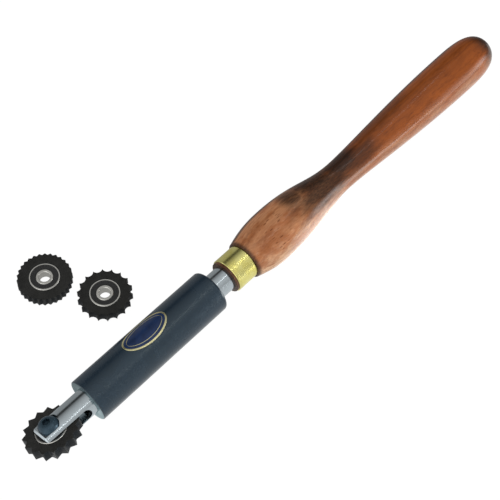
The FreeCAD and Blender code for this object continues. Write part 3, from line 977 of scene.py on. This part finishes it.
class SPIRAL_OT_fork_bar(bpy.types.Operator):
    """Turn the steel bar, mill the fork's slot and the screw's seat, and drill both arms"""
    bl_idname = "spiral.fork_bar"
    bl_label = "Fork Bar"

    def execute(self, context):
        bar = settings().bar
        radius = bar.diameter / 2
        rounding = bar.tip_rounding
        tip = -bar.tip_reach
        profile = [along(tip, 0)]
        profile += arc(along(tip + rounding, radius - rounding), along(tip, radius - rounding),
                       along(tip + rounding, radius), 6, Y_AXIS)
        profile += [along(bar.end - bar.end_chamfer, radius), along(bar.end, radius - bar.end_chamfer),
                    along(bar.end, 0)]
        piece = turned("fork_bar_ground", profile, X_AXIS, 192)
        half = bar.slot_height / 2
        far = -2 * bar.tip_reach
        side = Vector((0, -bar.diameter, 0))
        centre = along(bar.slot_end - half, 0)
        end = arc(centre, centre + along(0, -half), centre + along(half, 0), 12, Y_AXIS)
        end += arc(centre, centre + along(half, 0), centre + along(0, half), 12, Y_AXIS)[1:]
        outline = [along(far, -half)] + end + [along(far, half)]
        cut_away(piece, extruded("slot", [point + side for point in outline], -2 * side))
        level = Vector((0, 0, bar.seat_height))
        seat = [polar(bar.seat_radius, math.pi * (i / 36 - 0.5)) + level for i in range(37)]
        seat += [Vector((far, bar.seat_radius, 0)) + level, Vector((far, -bar.seat_radius, 0)) + level]
        cut_away(piece, extruded("seat", seat, Vector((0, 0, radius))))
        cut_away(piece, hole_tool("upper_hole", bar.upper_hole, 0, bar.diameter))
        cut_away(piece, hole_tool("lower_hole", bar.lower_hole, -bar.diameter, 0))
        self.soften_tip(piece, bar)
        break_edges(piece, bar.edge)
        steel = ground_steel("ground_steel", tool_place(), settings().finishes.steel)
        set_in_place(piece, tool_place(), steel, "tool", "ground_steel", "fork_bar")
        return {"FINISHED"}

    def soften_tip(self, piece, bar):
        """File the two corners between the fork's end and its flats."""
        width = bar.tip_bevel
        outside = -bar.tip_reach - width
        side = Vector((0, -bar.diameter, 0))
        for level in (bar.seat_height, -bar.diameter / 2):
            lean = math.copysign(width, level)
            wedge = [
                along(outside, level - lean * 2), along(outside + width * 3, level + lean),
                along(outside, level + lean),
            ]
            cut_away(piece, extruded("wedge", [point + side for point in wedge], -2 * side))


class SPIRAL_OT_axle_screw(bpy.types.Operator):
    """Turn the button head screw, broach its hexagonal socket and cut its thread"""
    bl_idname = "spiral.axle_screw"
    bl_label = "Axle Screw"

    def execute(self, context):
        screw = settings().screw
        seat = settings().bar.seat_height
        bottom = -settings().bar.diameter / 2
        radius = screw.head_diameter / 2
        top = seat + screw.head_height
        rim = across(radius, seat + screw.rim_height)
        crown = across(screw.crown_diameter / 2, top)
        chord = crown - rim
        outward = Vector((chord.z, 0, -chord.x)).normalized()
        sagitta = screw.dome_bulge
        dome_radius = chord.length ** 2 / (8 * sagitta) + sagitta / 2
        dome_centre = (rim + crown) / 2 + outward * (sagitta - dome_radius)
        thread_top = bottom + screw.thread_length
        point = 0.3 * MM
        profile = [
            across(0, bottom),
            across(screw.thread_root - point, bottom),
            across(screw.thread_root, bottom + point),
            across(screw.thread_root, thread_top),
            across(screw.shank_radius, thread_top + 0.5 * MM),
            across(screw.shank_radius, seat),
            across(radius - screw.rim_chamfer, seat),
            across(radius, seat + screw.rim_chamfer),
        ]
        profile += arc(dome_centre, rim, crown, 14, Y_AXIS) + [across(0, top)]
        piece = turned("axle_screw_head", profile, Z_AXIS, 96)
        corner = screw.hex_size / 2 / math.cos(math.radians(30))
        floor = Vector((0, 0, top - screw.hex_depth))
        hexagon = [polar(corner, math.radians(60 * i)) + floor for i in range(6)]
        cut_away(piece, extruded("socket", hexagon, Vector((0, 0, screw.hex_depth * 1.5))))
        drill_point = turned("drill_point", [
            across(0, floor.z - screw.hex_size / 4),
            across(screw.hex_size / 2, floor.z),
            across(screw.hex_size / 2, floor.z + point),
            across(0, floor.z + point),
        ], Z_AXIS, 48)
        cut_away(piece, drill_point)
        break_edges(piece, 0.12 * MM, limit=40)
        thread = self.thread(screw, bottom + screw.end_chamfer, thread_top)
        pick(piece)
        thread.select_set(True)
        bpy.ops.object.join()
        oxide = oxide_screw(tool_place(), settings().finishes.screw, radius / MM)
        set_in_place(piece, tool_place(), oxide, "axle_screw", "black_oxide_screw", "axle_screw")
        return {"FINISHED"}

    def thread(self, screw, low, high):
        """One closed ridge that winds up the end of the shank."""
        pitch = screw.thread_pitch
        flank = pitch * 0.42
        flat = pitch * 0.12
        inner = screw.thread_root - 0.12 * MM
        crest = screw.shank_radius - 0.03 * MM
        ridge = [
            across(inner, low), across(crest, low + flank), across(crest, low + flank + flat),
            across(inner, low + 2 * flank + flat), across(inner, low),
        ]
        thread = draw_chain("thread", ridge)
        bpy.ops.mesh.select_all(action="SELECT")
        bpy.ops.mesh.remove_doubles(threshold=MERGE_DISTANCE)
        turns = int((high - low) / pitch)
        apply_modifier(thread, "SCREW", "Winding", axis="Z", angle=math.tau, screw_offset=pitch,
                       iterations=turns, steps=48, render_steps=48, use_smooth_shade=False)
        edit(thread)
        bpy.ops.mesh.fill_holes(sides=0)
        close_up()
        bpy.ops.object.mode_set(mode="OBJECT")
        return thread


class SPIRAL_OT_barrel(bpy.types.Operator):
    """Turn the coated barrel with its crisp front and rounded back"""
    bl_idname = "spiral.barrel"
    bl_label = "Barrel"

    def execute(self, context):
        barrel = settings().barrel
        inner = settings().bar.diameter / 2
        radius = barrel.diameter / 2
        back = barrel.start + barrel.length
        rounding = barrel.back_rounding
        profile = [
            along(barrel.start, inner),
            along(barrel.start, radius - barrel.front_chamfer),
            along(barrel.start + barrel.front_chamfer, radius),
        ]
        profile += arc(along(back - rounding, radius - rounding), along(back - rounding, radius),
                       along(back, radius - rounding), 10, Y_AXIS)
        profile += [along(back, inner), along(barrel.start, inner)]
        piece = turned("barrel_turned", profile, X_AXIS, 192)
        break_edges(piece, 0.06 * MM, limit=30)
        finishes = settings().finishes
        slate = slate_coating(tool_place(), finishes, barrel.start / MM)
        set_in_place(piece, tool_place(), slate, "tool", "slate_finish", "barrel_sleeve")
        return {"FINISHED"}


class SPIRAL_OT_ferrule(bpy.types.Operator):
    """Turn the brass ferrule with the fine lines near its front"""
    bl_idname = "spiral.ferrule"
    bl_label = "Ferrule"

    def execute(self, context):
        ferrule = settings().ferrule
        inner = ferrule.inner_radius
        outer = inner + ferrule.wall
        back = ferrule.start + ferrule.length
        profile = [
            along(ferrule.start, inner),
            along(ferrule.start, outer - ferrule.chamfer),
            along(ferrule.start + ferrule.chamfer, outer),
        ]
        flank = 0.12 * MM
        for i in range(1, 4):
            line = ferrule.start + ferrule.chamfer + ferrule.line_spacing * i
            profile += [along(line - flank, outer), along(line, outer - ferrule.line_depth),
                        along(line + flank, outer)]
        corner = 0.25 * MM
        profile += [along(back - corner, outer), along(back, outer - corner),
                    along(back, inner), along(ferrule.start, inner)]
        piece = turned("ferrule_turned", profile, X_AXIS, 160)
        brass = turned_brass(tool_place(), settings().finishes.brass, ferrule.start / MM, back / MM)
        set_in_place(piece, tool_place(), brass, "tool", "brass", "ferrule", smooth=25)
        return {"FINISHED"}


class SPIRAL_OT_handle(bpy.types.Operator):
    """Turn the beech handle on its Bezier profile, with the tenon and the tang's blind hole"""
    bl_idname = "spiral.handle"
    bl_label = "Handle"

    def execute(self, context):
        handle = settings().handle
        tenon = settings().ferrule.inner_radius
        step_at = settings().ferrule.start + settings().ferrule.length
        bore = settings().bar.diameter / 2
        hole_end = settings().bar.end
        shoulder = tenon + settings().ferrule.wall + handle.shoulder_step
        small = handle.tenon_rounding
        large = handle.shoulder_rounding
        belly = along(handle.belly_at, handle.belly_diameter / 2)
        waist = along(handle.waist_at, handle.waist_diameter / 2)
        bulb = along(handle.bulb_at, handle.bulb_diameter / 2)
        end = along(handle.end, 0)
        lip = along(step_at + large, shoulder)
        front = handle.tenon_start
        profile = [along(hole_end, 0), along(hole_end, bore), along(front, bore)]
        profile += arc(along(front + small, tenon - small), along(front, tenon - small),
                       along(front + small, tenon), 5, Y_AXIS)
        profile += [along(step_at, tenon)]
        profile += arc(along(step_at + large, shoulder - large), along(step_at, shoulder - large),
                       lip, 6, Y_AXIS)
        profile += bezier(lip, lip + along(handle.slope_length, handle.slope_rise),
                          belly - along(handle.belly_front, 0), belly, 26)
        profile += bezier(belly, belly + along(handle.belly_back, 0),
                          waist - along(handle.waist_front, 0), waist, 36)
        profile += bezier(waist, waist + along(handle.waist_back, 0),
                          bulb - along(handle.bulb_front, 0), bulb, 44)
        profile += bezier(bulb, bulb + along(handle.bulb_back, 0),
                          end + along(0, handle.end_fullness), end, 40)
        piece = turned("handle_turned", profile, X_AXIS, 144)
        finishes = settings().finishes
        beech = stained_beech(tool_place(), finishes, handle, step_at / MM)
        set_in_place(piece, tool_place(), beech, "tool", "stained_beech", "handle")
        return {"FINISHED"}


class SPIRAL_OT_badge(bpy.types.Operator):
    """Press the plain oval plate and bend it to the barrel"""
    bl_idname = "spiral.badge"
    bl_label = "Badge"

    def execute(self, context):
        badge = settings().badge
        radius = settings().barrel.diameter / 2
        finishes = settings().finishes
        clear_selection()
        bpy.ops.mesh.primitive_circle_add(vertices=128, radius=badge.width / 2, fill_type="NGON")
        piece = bpy.context.object
        piece.name = "badge_plate"
        piece.data.name = "badge_plate"
        piece.data.materials.append(badge_metal(tool_place(), finishes.badge_rim))
        piece.data.materials.append(badge_enamel(tool_place(), finishes.badge_field))
        edit(piece)
        bpy.ops.mesh.select_mode(type="FACE")
        bpy.ops.transform.resize(value=(badge.length / badge.width, 1, 1))
        bpy.ops.mesh.extrude_region_move(TRANSFORM_OT_translate={"value": (0, 0, badge.thickness)})
        self.paint(piece, 0)
        slope = badge.rim * 0.25
        bpy.ops.mesh.inset(thickness=slope)
        bpy.ops.transform.translate(value=(0, 0, badge.rim * 0.12))
        bpy.ops.mesh.inset(thickness=badge.rim - 2 * slope)
        bpy.ops.mesh.inset(thickness=slope)
        bpy.ops.transform.translate(value=(0, 0, -badge.recess))
        self.paint(piece, 1)
        bpy.ops.mesh.inset(thickness=badge.band)
        self.paint(piece, 0)
        bpy.ops.mesh.inset(thickness=badge.stripe)
        self.paint(piece, 1)
        strips = 40
        for i in range(1, strips):
            bpy.ops.mesh.select_all(action="SELECT")
            bpy.ops.mesh.bisect(
                plane_co=(0, badge.width * (i / strips - 0.5), 0), plane_no=(0, 1, 0))
        close_up()
        bpy.ops.transform.rotate(value=math.radians(-90), orient_axis="X", center_override=(0, 0, 0))
        apply_modifier(piece, "SIMPLE_DEFORM", "Bend", deform_method="BEND", deform_axis="X",
                       angle=badge.width / radius)
        upright = Matrix.Rotation(badge.turn - math.radians(90), 4, "X")
        place = upright @ Matrix.Translation((badge.along, -radius, 0))
        set_in_place(piece, tool_place() @ place, None, "tool", "brass", smooth=25)
        return {"FINISHED"}

    def paint(self, piece, index):
        piece.active_material_index = index
        bpy.ops.object.material_slot_assign()


class SPIRAL_OT_cutters(bpy.types.Operator):
    """Cut the three toothed rings"""
    bl_idname = "spiral.cutters"
    bl_label = "Toothed Cutters"

    def execute(self, context):
        cutter = settings().cutter
        shapes = {
            "pointed": (cutter.pointed_teeth, cutter.pointed_phase, self.straight_gullet(
                cutter.pointed_teeth, cutter.pointed_depth, cutter.pointed_root)),
            "scalloped": (cutter.scalloped_teeth, cutter.scalloped_phase, self.round_gullet(
                cutter.scalloped_teeth, cutter.scalloped_depth)),
            "fine": (cutter.fine_teeth, cutter.fine_phase, self.straight_gullet(
                cutter.fine_teeth, cutter.fine_depth, cutter.fine_root)),
        }
        for kind, (teeth, phase, gullet) in shapes.items():
            piece = self.toothed_ring(kind + "_teeth", teeth, gullet)
            place = cutter_place(kind)
            steel = black_steel(kind + "_black_steel", place, settings().finishes,
                                cutter.diameter / 2 / MM, settings().bearing.width / 2 / MM)
            turn = Matrix.Rotation(phase, 4, "Z")
            set_in_place(piece, place @ turn, steel, kind + "_cutter", "black_cutter_steel",
                         kind + "_cutter", smooth=28)
        return {"FINISHED"}

    def straight_gullet(self, teeth, depth, root):
        """Two flanks and a rounded root from one tip to the next."""
        tip = settings().cutter.diameter / 2
        pitch = math.tau / teeth
        first = polar(tip, 0)
        second = polar(tip, pitch)
        centre = polar(tip - depth + root, pitch / 2)
        to_centre = centre - first
        swing = math.asin(root / to_centre.length)
        reach = math.sqrt(to_centre.length ** 2 - root ** 2)
        touches = [first + Matrix.Rotation(turn, 3, "Z") @ to_centre * (reach / to_centre.length)
                   for turn in (swing, -swing)]
        touch = min(touches, key=lambda point: point.length)
        mirror_line = polar(1, pitch / 2)
        other = mirror_line * 2 * touch.dot(mirror_line) - touch
        return [first] + arc(centre, touch, other, 10, Z_AXIS) + [second]

    def round_gullet(self, teeth, depth):
        """One arc from tip to tip."""
        tip = settings().cutter.diameter / 2
        pitch = math.tau / teeth
        first = polar(tip, 0)
        second = polar(tip, pitch)
        bottom = polar(tip - depth, pitch / 2)
        chord = second - first
        sagitta = ((first + second) / 2 - bottom).length
        radius = chord.length ** 2 / (8 * sagitta) + sagitta / 2
        centre = bottom + polar(radius, pitch / 2)
        return arc(centre, first, bottom, 7, Z_AXIS) + arc(centre, bottom, second, 7, Z_AXIS)[1:]

    def toothed_ring(self, name, teeth, gullet):
        """One gullet repeated round the axle, bridged to the bore and extruded."""
        width = settings().bearing.width
        bore = settings().bearing.diameter / 2
        low = Vector((0, 0, -width / 2))
        piece = draw_chain(name, [point + low for point in gullet])
        bpy.ops.mesh.select_all(action="SELECT")
        bpy.ops.mesh.spin(steps=teeth, dupli=True, angle=math.tau, center=(0, 0, 0), axis=Z_AXIS)
        bpy.ops.mesh.select_all(action="SELECT")
        bpy.ops.mesh.remove_doubles(threshold=MERGE_DISTANCE)
        around = len(piece_vertices(piece))
        bpy.ops.mesh.primitive_circle_add(vertices=around, radius=bore, location=low)
        bpy.ops.mesh.select_all(action="SELECT")
        bpy.ops.mesh.bridge_edge_loops()
        bpy.ops.mesh.select_all(action="SELECT")
        bpy.ops.mesh.extrude_region_move(TRANSFORM_OT_translate={"value": (0, 0, width)})
        close_up()
        self.bevel_rims(piece, lambda radius: radius < bore * 1.02, settings().cutter.bore_chamfer, 1)
        self.bevel_rims(piece, lambda radius: radius > bore * 1.1, settings().cutter.edge, 2)
        bpy.ops.object.mode_set(mode="OBJECT")
        return piece

    def bevel_rims(self, piece, wanted, width, segments):
        """Bevel the edges of both faces whose radius is wanted."""
        flat = settings().bearing.width / 2 - 0.01 * MM
        bpy.ops.mesh.select_mode(type="EDGE")
        bpy.ops.mesh.select_all(action="DESELECT")
        bpy.ops.object.mode_set(mode="OBJECT")
        mesh = piece.data
        for edge in mesh.edges:
            ends = [mesh.vertices[i].co for i in edge.vertices]
            level = all(abs(end.z) > flat for end in ends) and abs(ends[0].z - ends[1].z) < MERGE_DISTANCE
            edge.select = level and all(wanted(end.xy.length) for end in ends)
        bpy.ops.object.mode_set(mode="EDIT")
        bpy.ops.mesh.bevel(offset=width, segments=segments, affect="EDGES")


def piece_vertices(piece):
    """Vertices of a piece in edit mode, as they are now."""
    piece.update_from_editmode()
    return piece.data.vertices


class SPIRAL_OT_bearings(bpy.types.Operator):
    """Turn the races and seals of one bearing and copy them into all three cutters"""
    bl_idname = "spiral.bearings"
    bl_label = "Bearings"

    def execute(self, context):
        outer = turned("outer_race", self.outer_profile(), Z_AXIS, 128)
        inner = turned("inner_race", self.inner_profile(), Z_AXIS, 96)
        seals = self.seals()
        finishes = settings().finishes
        for kind in CUTTERS:
            place = cutter_place(kind)
            name = kind + "_cutter"
            steel = polished_race(kind + "_race_steel", place, finishes.race)
            rubber = moulded(kind + "_seal_rubber", place, finishes.rubber, 0.52)
            nylon = moulded(kind + "_cage_nylon", place, finishes.cage, 0.5)
            rings = (
                (outer, "_outer_ring", "_outer_race", name, steel, "bearing_steel"),
                (inner, "_inner_ring", "_inner_race", inner_body(kind), steel, "bearing_steel"),
                (seals, "_lip_seals", "_seals", name, rubber, "seal_rubber"),
            )
            for model, ending, node_ending, body, material, slot in rings:
                twin = copy_of(model, kind + ending)
                set_in_place(twin, place, material, body, slot, name + node_ending, smooth=28)
            for node, material in ((name + "_balls", steel), (name + "_cage", nylon)):
                frame["nodes"][node].material_slots[0].material = material
        for model in (outer, inner, seals):
            bpy.data.objects.remove(model, do_unlink=True)
        return {"FINISHED"}

    def groove(self, from_height, to_height, side):
        """Arc of the balls' groove in one race's land; side is 1 outside, -1 inside."""
        bearing = settings().bearing
        circle = (bearing.bore + bearing.diameter) / 4
        radius = bearing.ball_diameter / 2 + bearing.ball_clearance
        points = []
        for i in range(13):
            height = from_height + (to_height - from_height) * i / 12
            points.append(across(circle + side * math.sqrt(radius ** 2 - height ** 2), height))
        return points

    def outer_profile(self):
        bearing = settings().bearing
        half = bearing.width / 2
        radius = bearing.diameter / 2
        land = radius - bearing.race
        seat = land + bearing.seat_step
        step = half - bearing.seat_depth
        chamfer = bearing.chamfer
        circle = (bearing.bore + bearing.diameter) / 4
        reach = math.sqrt((bearing.ball_diameter / 2 + bearing.ball_clearance) ** 2 - (land - circle) ** 2)
        profile = [
            across(radius - chamfer, half), across(radius, half - chamfer),
            across(radius, chamfer - half), across(radius - chamfer, -half),
            across(seat, -half), across(seat, -step), across(land, -step),
        ]
        profile += self.groove(-reach, reach, 1)
        return profile + [across(land, step), across(seat, step), across(seat, half), profile[0]]

    def inner_profile(self):
        bearing = settings().bearing
        half = bearing.width / 2
        bore = bearing.bore / 2
        land = bore + bearing.race
        chamfer = bearing.chamfer
        circle = (bearing.bore + bearing.diameter) / 4
        reach = math.sqrt((bearing.ball_diameter / 2 + bearing.ball_clearance) ** 2 - (circle - land) ** 2)
        profile = [across(bore + chamfer, half), across(land - chamfer, half), across(land, half - chamfer)]
        profile += self.groove(reach, -reach, -1)
        profile += [
            across(land, chamfer - half), across(land - chamfer, -half), across(bore + chamfer, -half),
            across(bore, chamfer - half), across(bore, half - chamfer),
        ]
        return profile + profile[:1]

    def seals(self):
        """Two seals with a beaded rim, a sunk web and a lip on the inner race."""
        bearing = settings().bearing
        inner = bearing.bore / 2 + bearing.race + bearing.seal_gap
        outer = bearing.diameter / 2 - bearing.race + bearing.seat_step
        top = bearing.width / 2 - bearing.seal_recess
        bottom = bearing.width / 2 - bearing.seat_depth
        web = top - 0.14 * MM
        corner = 0.1 * MM
        slope = 0.2 * MM
        rim = outer - 0.55 * MM
        bead = web + 0.08 * MM
        bead_start = outer - 1.35 * MM
        bead_top = outer - 1.5 * MM
        bead_width = 0.25 * MM
        bead_end = outer - 1.9 * MM
        lip = inner + 0.4 * MM
        lip_corner = 0.08 * MM
        profile = [
            across(outer, bottom), across(outer, top - corner), across(outer - corner, top),
            across(rim, top), across(rim - slope, web), across(bead_start, web),
            across(bead_top, bead), across(bead_top - bead_width, bead), across(bead_end, web),
            across(lip + slope, web), across(lip, top), across(inner + lip_corner, top),
            across(inner, top - corner), across(inner, bottom),
        ]
        upper = turned("seals", profile + profile[:1], Z_AXIS, 128)
        lower = copy_of(upper, "lower_seal")
        pick(lower)
        bpy.ops.transform.mirror(constraint_axis=(False, False, True))
        bpy.ops.object.transform_apply(location=True, rotation=True, scale=True)
        edit(lower)
        bpy.ops.mesh.normals_make_consistent(inside=False)
        pick(upper)
        lower.select_set(True)
        bpy.ops.object.join()
        return upper


class SPIRAL_OT_washers(bpy.types.Operator):
    """Finish the spacer washers, which stay as the frame has them"""
    bl_idname = "spiral.washers"
    bl_label = "Spacer Washers"

    def execute(self, context):
        steel = ground_steel("washer_steel", tool_place(), settings().finishes.steel, 0.34)
        frame["nodes"]["spacer_washers"].material_slots[0].material = steel
        return {"FINISHED"}


class SPIRAL_OT_studio(bpy.types.Operator):
    """Lay the white floor, set the soft lights and place the camera"""
    bl_idname = "spiral.studio"
    bl_label = "Studio"

    def execute(self, context):
        studio = settings().studio
        self.floor(studio)
        self.world(studio)
        for softbox in SOFTBOXES:
            self.softbox(*softbox)
        self.camera(studio)
        context.scene.view_settings.view_transform = "Standard"
        return {"FINISHED"}

    def room_level(self):
        """What polished pieces mirror, by the angle round the tool: dark behind it, bright in front."""
        tree, desk, given, result = new_group(
            "Room Level", (("Direction", "Vector"),), (("Level", "Float"),))
        split = desk.add("ShaderNodeSeparateXYZ", inputs={
            "Vector": desk.vector("NORMALIZE", given["Direction"])}).outputs
        turn = desk.sum("ARCTAN2", desk.sum("MULTIPLY", split[1], -1.0), split[2])
        share = desk.sum("ADD", desk.sum("DIVIDE", turn, math.tau), 0.5)
        ramp = desk.add("ShaderNodeValToRGB", inputs={"Fac": share})
        steps = ramp.color_ramp.elements
        for degrees, level in ROOM_LEVELS:
            place = degrees / 360 + 0.5
            step = steps[0] if degrees == ROOM_LEVELS[0][0] else steps.new(place)
            step.position = place
            step.color = (level, level, level, 1.0)
        steps.remove(steps[len(steps) - 1])
        tip_side = desk.ramp(split[0], *TIP_SIDE, 0.0, TIP_SIDE_LEVEL)
        desk.feed(result["Level"], desk.sum("ADD", ramp.outputs[0], tip_side))
        return tree

    def floor(self, studio):
        clear_selection()
        bpy.ops.mesh.primitive_plane_add(size=studio.floor_size, location=(0, 0, -FLOOR_DROP))
        floor = bpy.context.object
        floor.name = "floor"
        bpy.ops.object.transform_apply(location=True, rotation=True, scale=True)
        material = bpy.data.materials.new("white_floor")
        material.use_nodes = True
        desk = NodeDesk(material.node_tree)
        desk.tree.nodes.clear()
        paper = desk.add("ShaderNodeBsdfPrincipled", inputs={
            "Base Color": opaque(studio.paper), "Roughness": 0.9})
        path = desk.add("ShaderNodeLightPath").outputs
        offset = desk.vector("SUBTRACT", desk.add("ShaderNodeTexCoord").outputs["Object"],
                             tool_place().to_translation())
        mirrored = desk.group(self.room_level(), {"Direction": offset}).outputs["Level"]
        split = desk.add("ShaderNodeSeparateXYZ", inputs={"Vector": offset}).outputs
        begin = desk.sum("ADD", split[0], desk.sum("MULTIPLY", split[1], POOL_LEAN))
        end = desk.sum("ADD", split[0], split[1])
        pool = desk.sum("MULTIPLY", desk.ramp(begin, *POOL_BEGIN), desk.ramp(end, *POOL_END, POOL_BEYOND))
        pool = desk.sum("MULTIPLY", pool, desk.ramp(split[1], *POOL_SIDE, 0.0, studio.pool))
        mirrored = desk.sum("MULTIPLY", mirrored, desk.sum("ADD", pool, 1.0))
        glow = desk.add("ShaderNodeEmission", inputs={
            "Color": desk.blend(path["Is Glossy Ray"], opaque(studio.white), mirrored),
            "Strength": 1.0})
        seen = desk.sum("MAXIMUM", path["Is Camera Ray"], path["Is Transmission Ray"])
        share = desk.sum("MAXIMUM", desk.sum("MULTIPLY", seen, studio.floor_glow), path["Is Glossy Ray"])
        mix = desk.add("ShaderNodeMixShader", inputs={0: share, 1: paper.outputs[0], 2: glow.outputs[0]})
        output = desk.add("ShaderNodeOutputMaterial")
        desk.feed(output.inputs[0], mix.outputs[0])
        floor.data.materials.append(material)

    def world(self, studio):
        world = bpy.data.worlds.new("white_room")
        world.use_nodes = True
        bpy.context.scene.world = world
        desk = NodeDesk(world.node_tree)
        desk.tree.nodes.clear()
        path = desk.add("ShaderNodeLightPath").outputs
        direction = desk.add("ShaderNodeTexCoord").outputs["Generated"]
        mirrored = desk.group(self.room_level(), {"Direction": direction}).outputs["Level"]
        split = desk.add("ShaderNodeSeparateXYZ", inputs={"Vector": direction}).outputs
        far = desk.ramp(split[0], *FAR_END, 1.0, FAR_END_LEVEL)
        mirrored = desk.sum("MULTIPLY", mirrored, far)
        low = desk.sum("MULTIPLY", desk.ramp(split[1], *LOW_SIDE), desk.ramp(split[2], *LOW_HEIGHT))
        beside = desk.sum("ADD", desk.ramp(split[0], *LOW_BELLY, 0.0, LOW_BELLY_SHARE),
                          desk.ramp(split[0], *LOW_WAIST, 0.0, LOW_WAIST_SHARE))
        low = desk.sum("MULTIPLY", low, desk.sum("MULTIPLY", beside, studio.pool))
        mirrored = desk.sum("ADD", mirrored, low)
        seen = desk.sum("MAXIMUM", path["Is Camera Ray"], path["Is Transmission Ray"])
        lit = desk.blend(path["Is Glossy Ray"], (studio.ambient,) * 3 + (1,), mirrored)
        level = desk.blend(seen, lit, (1, 1, 1, 1))
        room = desk.add("ShaderNodeBackground", inputs={"Color": level, "Strength": 1.0})
        output = desk.add("ShaderNodeOutputWorld")
        desk.feed(output.inputs[0], room.outputs[0])

    def softbox(self, name, place, size, power, mirrored):
        """A rectangular lamp that faces the frame's origin."""
        clear_selection()
        facing = (-Vector(place)).to_track_quat("-Z", "Y")
        bpy.ops.object.light_add(type="AREA", location=place, rotation=facing.to_euler())
        lamp = bpy.context.object
        lamp.name = name
        lamp.data.name = name
        lamp.data.shape = "RECTANGLE"
        lamp.data.size, lamp.data.size_y = size
        lamp.data.energy = power
        lamp.visible_glossy = mirrored

    def camera(self, studio):
        clear_selection()
        place = Vector(studio.camera_at)
        look = (Vector(studio.camera_aim) - place).to_track_quat("-Z", "Y").to_matrix()
        look = look @ Matrix.Rotation(studio.camera_roll, 3, "Z")
        bpy.ops.object.camera_add(location=place, rotation=look.to_euler())
        camera = bpy.context.object
        camera.name = "camera"
        camera.data.lens = studio.lens
        camera.data.sensor_width = 36
        camera.data.clip_start = 0.01
        bpy.context.scene.camera = camera


OPERATORS = (
    SPIRAL_OT_fork_bar,
    SPIRAL_OT_axle_screw,
    SPIRAL_OT_barrel,
    SPIRAL_OT_ferrule,
    SPIRAL_OT_handle,
    SPIRAL_OT_badge,
    SPIRAL_OT_cutters,
    SPIRAL_OT_bearings,
    SPIRAL_OT_washers,
    SPIRAL_OT_studio,
)


class SPIRAL_PT_panel(bpy.types.Panel):
    bl_idname = "SPIRAL_PT_panel"
    bl_label = "Spiralling Tool"
    bl_space_type = "VIEW_3D"
    bl_region_type = "UI"
    bl_category = "Spiralling Tool"

    def draw(self, context):
        for operator in OPERATORS:
            self.layout.operator(operator.bl_idname)
        for name, group in SIZE_GROUPS.items():
            box = self.layout.box()
            box.label(text=name.replace("_", " ").title())
            for key in group.__annotations__:
                box.prop(getattr(context.scene.spiralling_tool, name), key)


CLASSES = tuple(SIZE_GROUPS.values()) + (ToolSettings,) + OPERATORS + (SPIRAL_PT_panel,)


def register():
    for each in CLASSES:
        bpy.utils.register_class(each)
    bpy.types.Scene.spiralling_tool = PointerProperty(type=ToolSettings)


def unregister():
    del bpy.types.Scene.spiralling_tool
    for each in reversed(CLASSES):
        bpy.utils.unregister_class(each)


def main():
    register()
    clear_selection()
    for operator in OPERATORS:
        section, name = operator.bl_idname.split(".")
        getattr(getattr(bpy.ops, section), name)()
    clear_selection()


if __name__ == "__main__":
    main()
